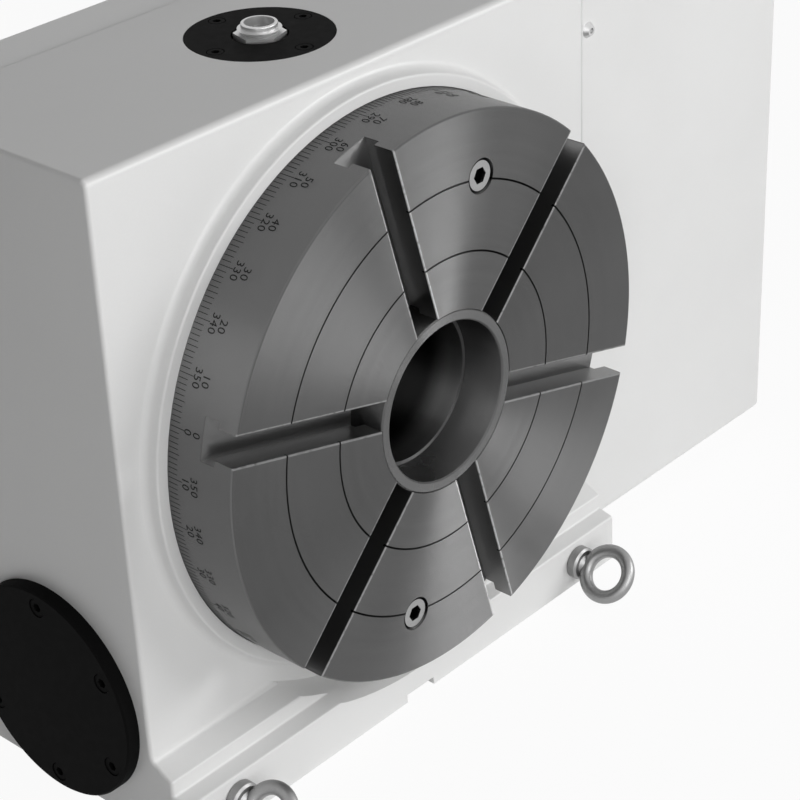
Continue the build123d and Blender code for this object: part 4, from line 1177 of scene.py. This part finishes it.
@dataclass
class Studio:
    """Floor, background, lamps and the camera at the photograph's angle."""

    floor_z: float = -199.0
    floor_size: float = 12.0
    floor_tone: float = 0.86
    floor_glow: float = 0.94
    white: float = 1.0
    ambient: float = 0.07
    lamps: tuple[Softbox, ...] = (
        Softbox("key_softbox", (2.63, -3.2, 1.78), 88.0, (2.8, 1.1)),
        Softbox("fill_softbox", (-0.6, -2.5, 0.95), 30.0, (1.8, 1.6)),
        Softbox("strip_softbox", (-1.97, -1.43, 0.6), 5.0, (0.35, 1.3)),
    )
    target: tuple[float, float, float] = (0.0, 0.05, 0.0)
    sensor: float = 36.0
    clip_start: float = 0.05
    focal_px: float = 2311.48
    image_px: float = 800.0
    centre_px: tuple[float, float] = (399.0, 400.0)
    camera_place: tuple[float, float, float] = (-0.7706, -0.6913, 0.5882)
    right: tuple[float, float, float] = (0.66877, -0.74245, -0.03902)
    down: tuple[float, float, float] = (-0.38904, -0.30474, -0.86936)
    forward: tuple[float, float, float] = (0.63356, 0.59658, -0.49264)

    def seen(self, tree: Tree) -> Wire:
        """Finds the rays that show the background: straight, mirrored or through glass.

        Args:
            tree: the node tree that asks.

        Returns:
            1 for such rays, 0 for the others.
        """
        path = tree.node("ShaderNodeLightPath").outputs
        names = ("Is Camera Ray", "Is Glossy Ray", "Is Transmission Ray")
        straight, mirrored, through = (Wire(tree, path[name]) for name in names)
        return straight.larger(mirrored).larger(through)

    def make_world(self) -> None:
        """White background over a dimmer, even ambient light."""
        world = bpy.data.worlds.new("studio")
        world.use_nodes = True
        tree = Tree(world.node_tree)
        strength = self.ambient + self.seen(tree) * (self.white - self.ambient)
        glow = tree.wire("ShaderNodeBackground", {}, {"Color": (1, 1, 1, 1), "Strength": strength})
        tree.node("ShaderNodeOutputWorld", {}, {"Surface": glow})
        bpy.context.scene.world = world

    def make_floor(self) -> None:
        """Pale floor that keeps a soft shadow under the table."""
        half = self.floor_size / 2
        mesh = bpy.data.meshes.new("floor")
        corners = [(-half, -half), (half, -half), (half, half), (-half, half)]
        mesh.from_pydata([(x, y, self.floor_z * MM) for x, y in corners], [], [(0, 1, 2, 3)])
        floor = new_object("floor", mesh)
        material = bpy.data.materials.new("floor_white")
        material.use_nodes = True
        tree = Tree(material.node_tree)
        matt = tree.wire("ShaderNodeBsdfDiffuse", {}, {"Color": (*grey(self.floor_tone), 1)})
        glow = tree.wire("ShaderNodeEmission", {}, {"Color": (1, 1, 1, 1), "Strength": self.white})
        share = self.seen(tree) * self.floor_glow
        mixed = tree.wire("ShaderNodeMixShader", {}, {0: share, 1: matt, 2: glow})
        tree.node("ShaderNodeOutputMaterial", {}, {"Surface": mixed})
        mesh.materials.append(material)
        floor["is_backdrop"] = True

    def make_camera(self) -> None:
        """Sets the camera where the photograph was taken from."""
        data = bpy.data.cameras.new("camera")
        data.sensor_width = self.sensor
        data.lens = self.focal_px / self.image_px * self.sensor
        data.shift_x = (self.image_px / 2 - self.centre_px[0]) / self.image_px
        data.shift_y = (self.centre_px[1] - self.image_px / 2) / self.image_px
        data.clip_start = self.clip_start
        camera = bpy.data.objects.new("camera", data)
        up = [-value for value in self.down]
        back = [-value for value in self.forward]
        turn = Matrix((self.right, up, back)).transposed().to_4x4()
        camera.matrix_world = Matrix.Translation(self.camera_place) @ turn
        bpy.context.scene.collection.objects.link(camera)
        bpy.context.scene.camera = camera

    def build(self) -> None:
        """Sets up the whole studio."""
        bpy.context.scene.view_settings.view_transform = "Standard"
        self.make_world()
        self.make_floor()
        for lamp in self.lamps:
            lamp.build(Vector(self.target))
        self.make_camera()


def main() -> None:
    """Loads the frame, dresses the table piece by piece and sets up the studio."""
    logging.basicConfig(level=logging.INFO, format="%(message)s")
    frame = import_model()
    cad_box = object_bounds()
    slots = {part["node"]: part["material_slot"] for part in frame["record"]["subparts"]}
    for assembly in (Casing, TopPlate, LiftingEyes, Platter, Bearings, Brake, Worm, Motor):
        assembly().build(slots)
    PlatterScale().build()
    Studio().build()
    boxes = {"cad": cad_box, "visual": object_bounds()}
    boxes = {name: [list(corner) for corner in box] for name, box in boxes.items()}


if __name__ == "__main__":
    main()
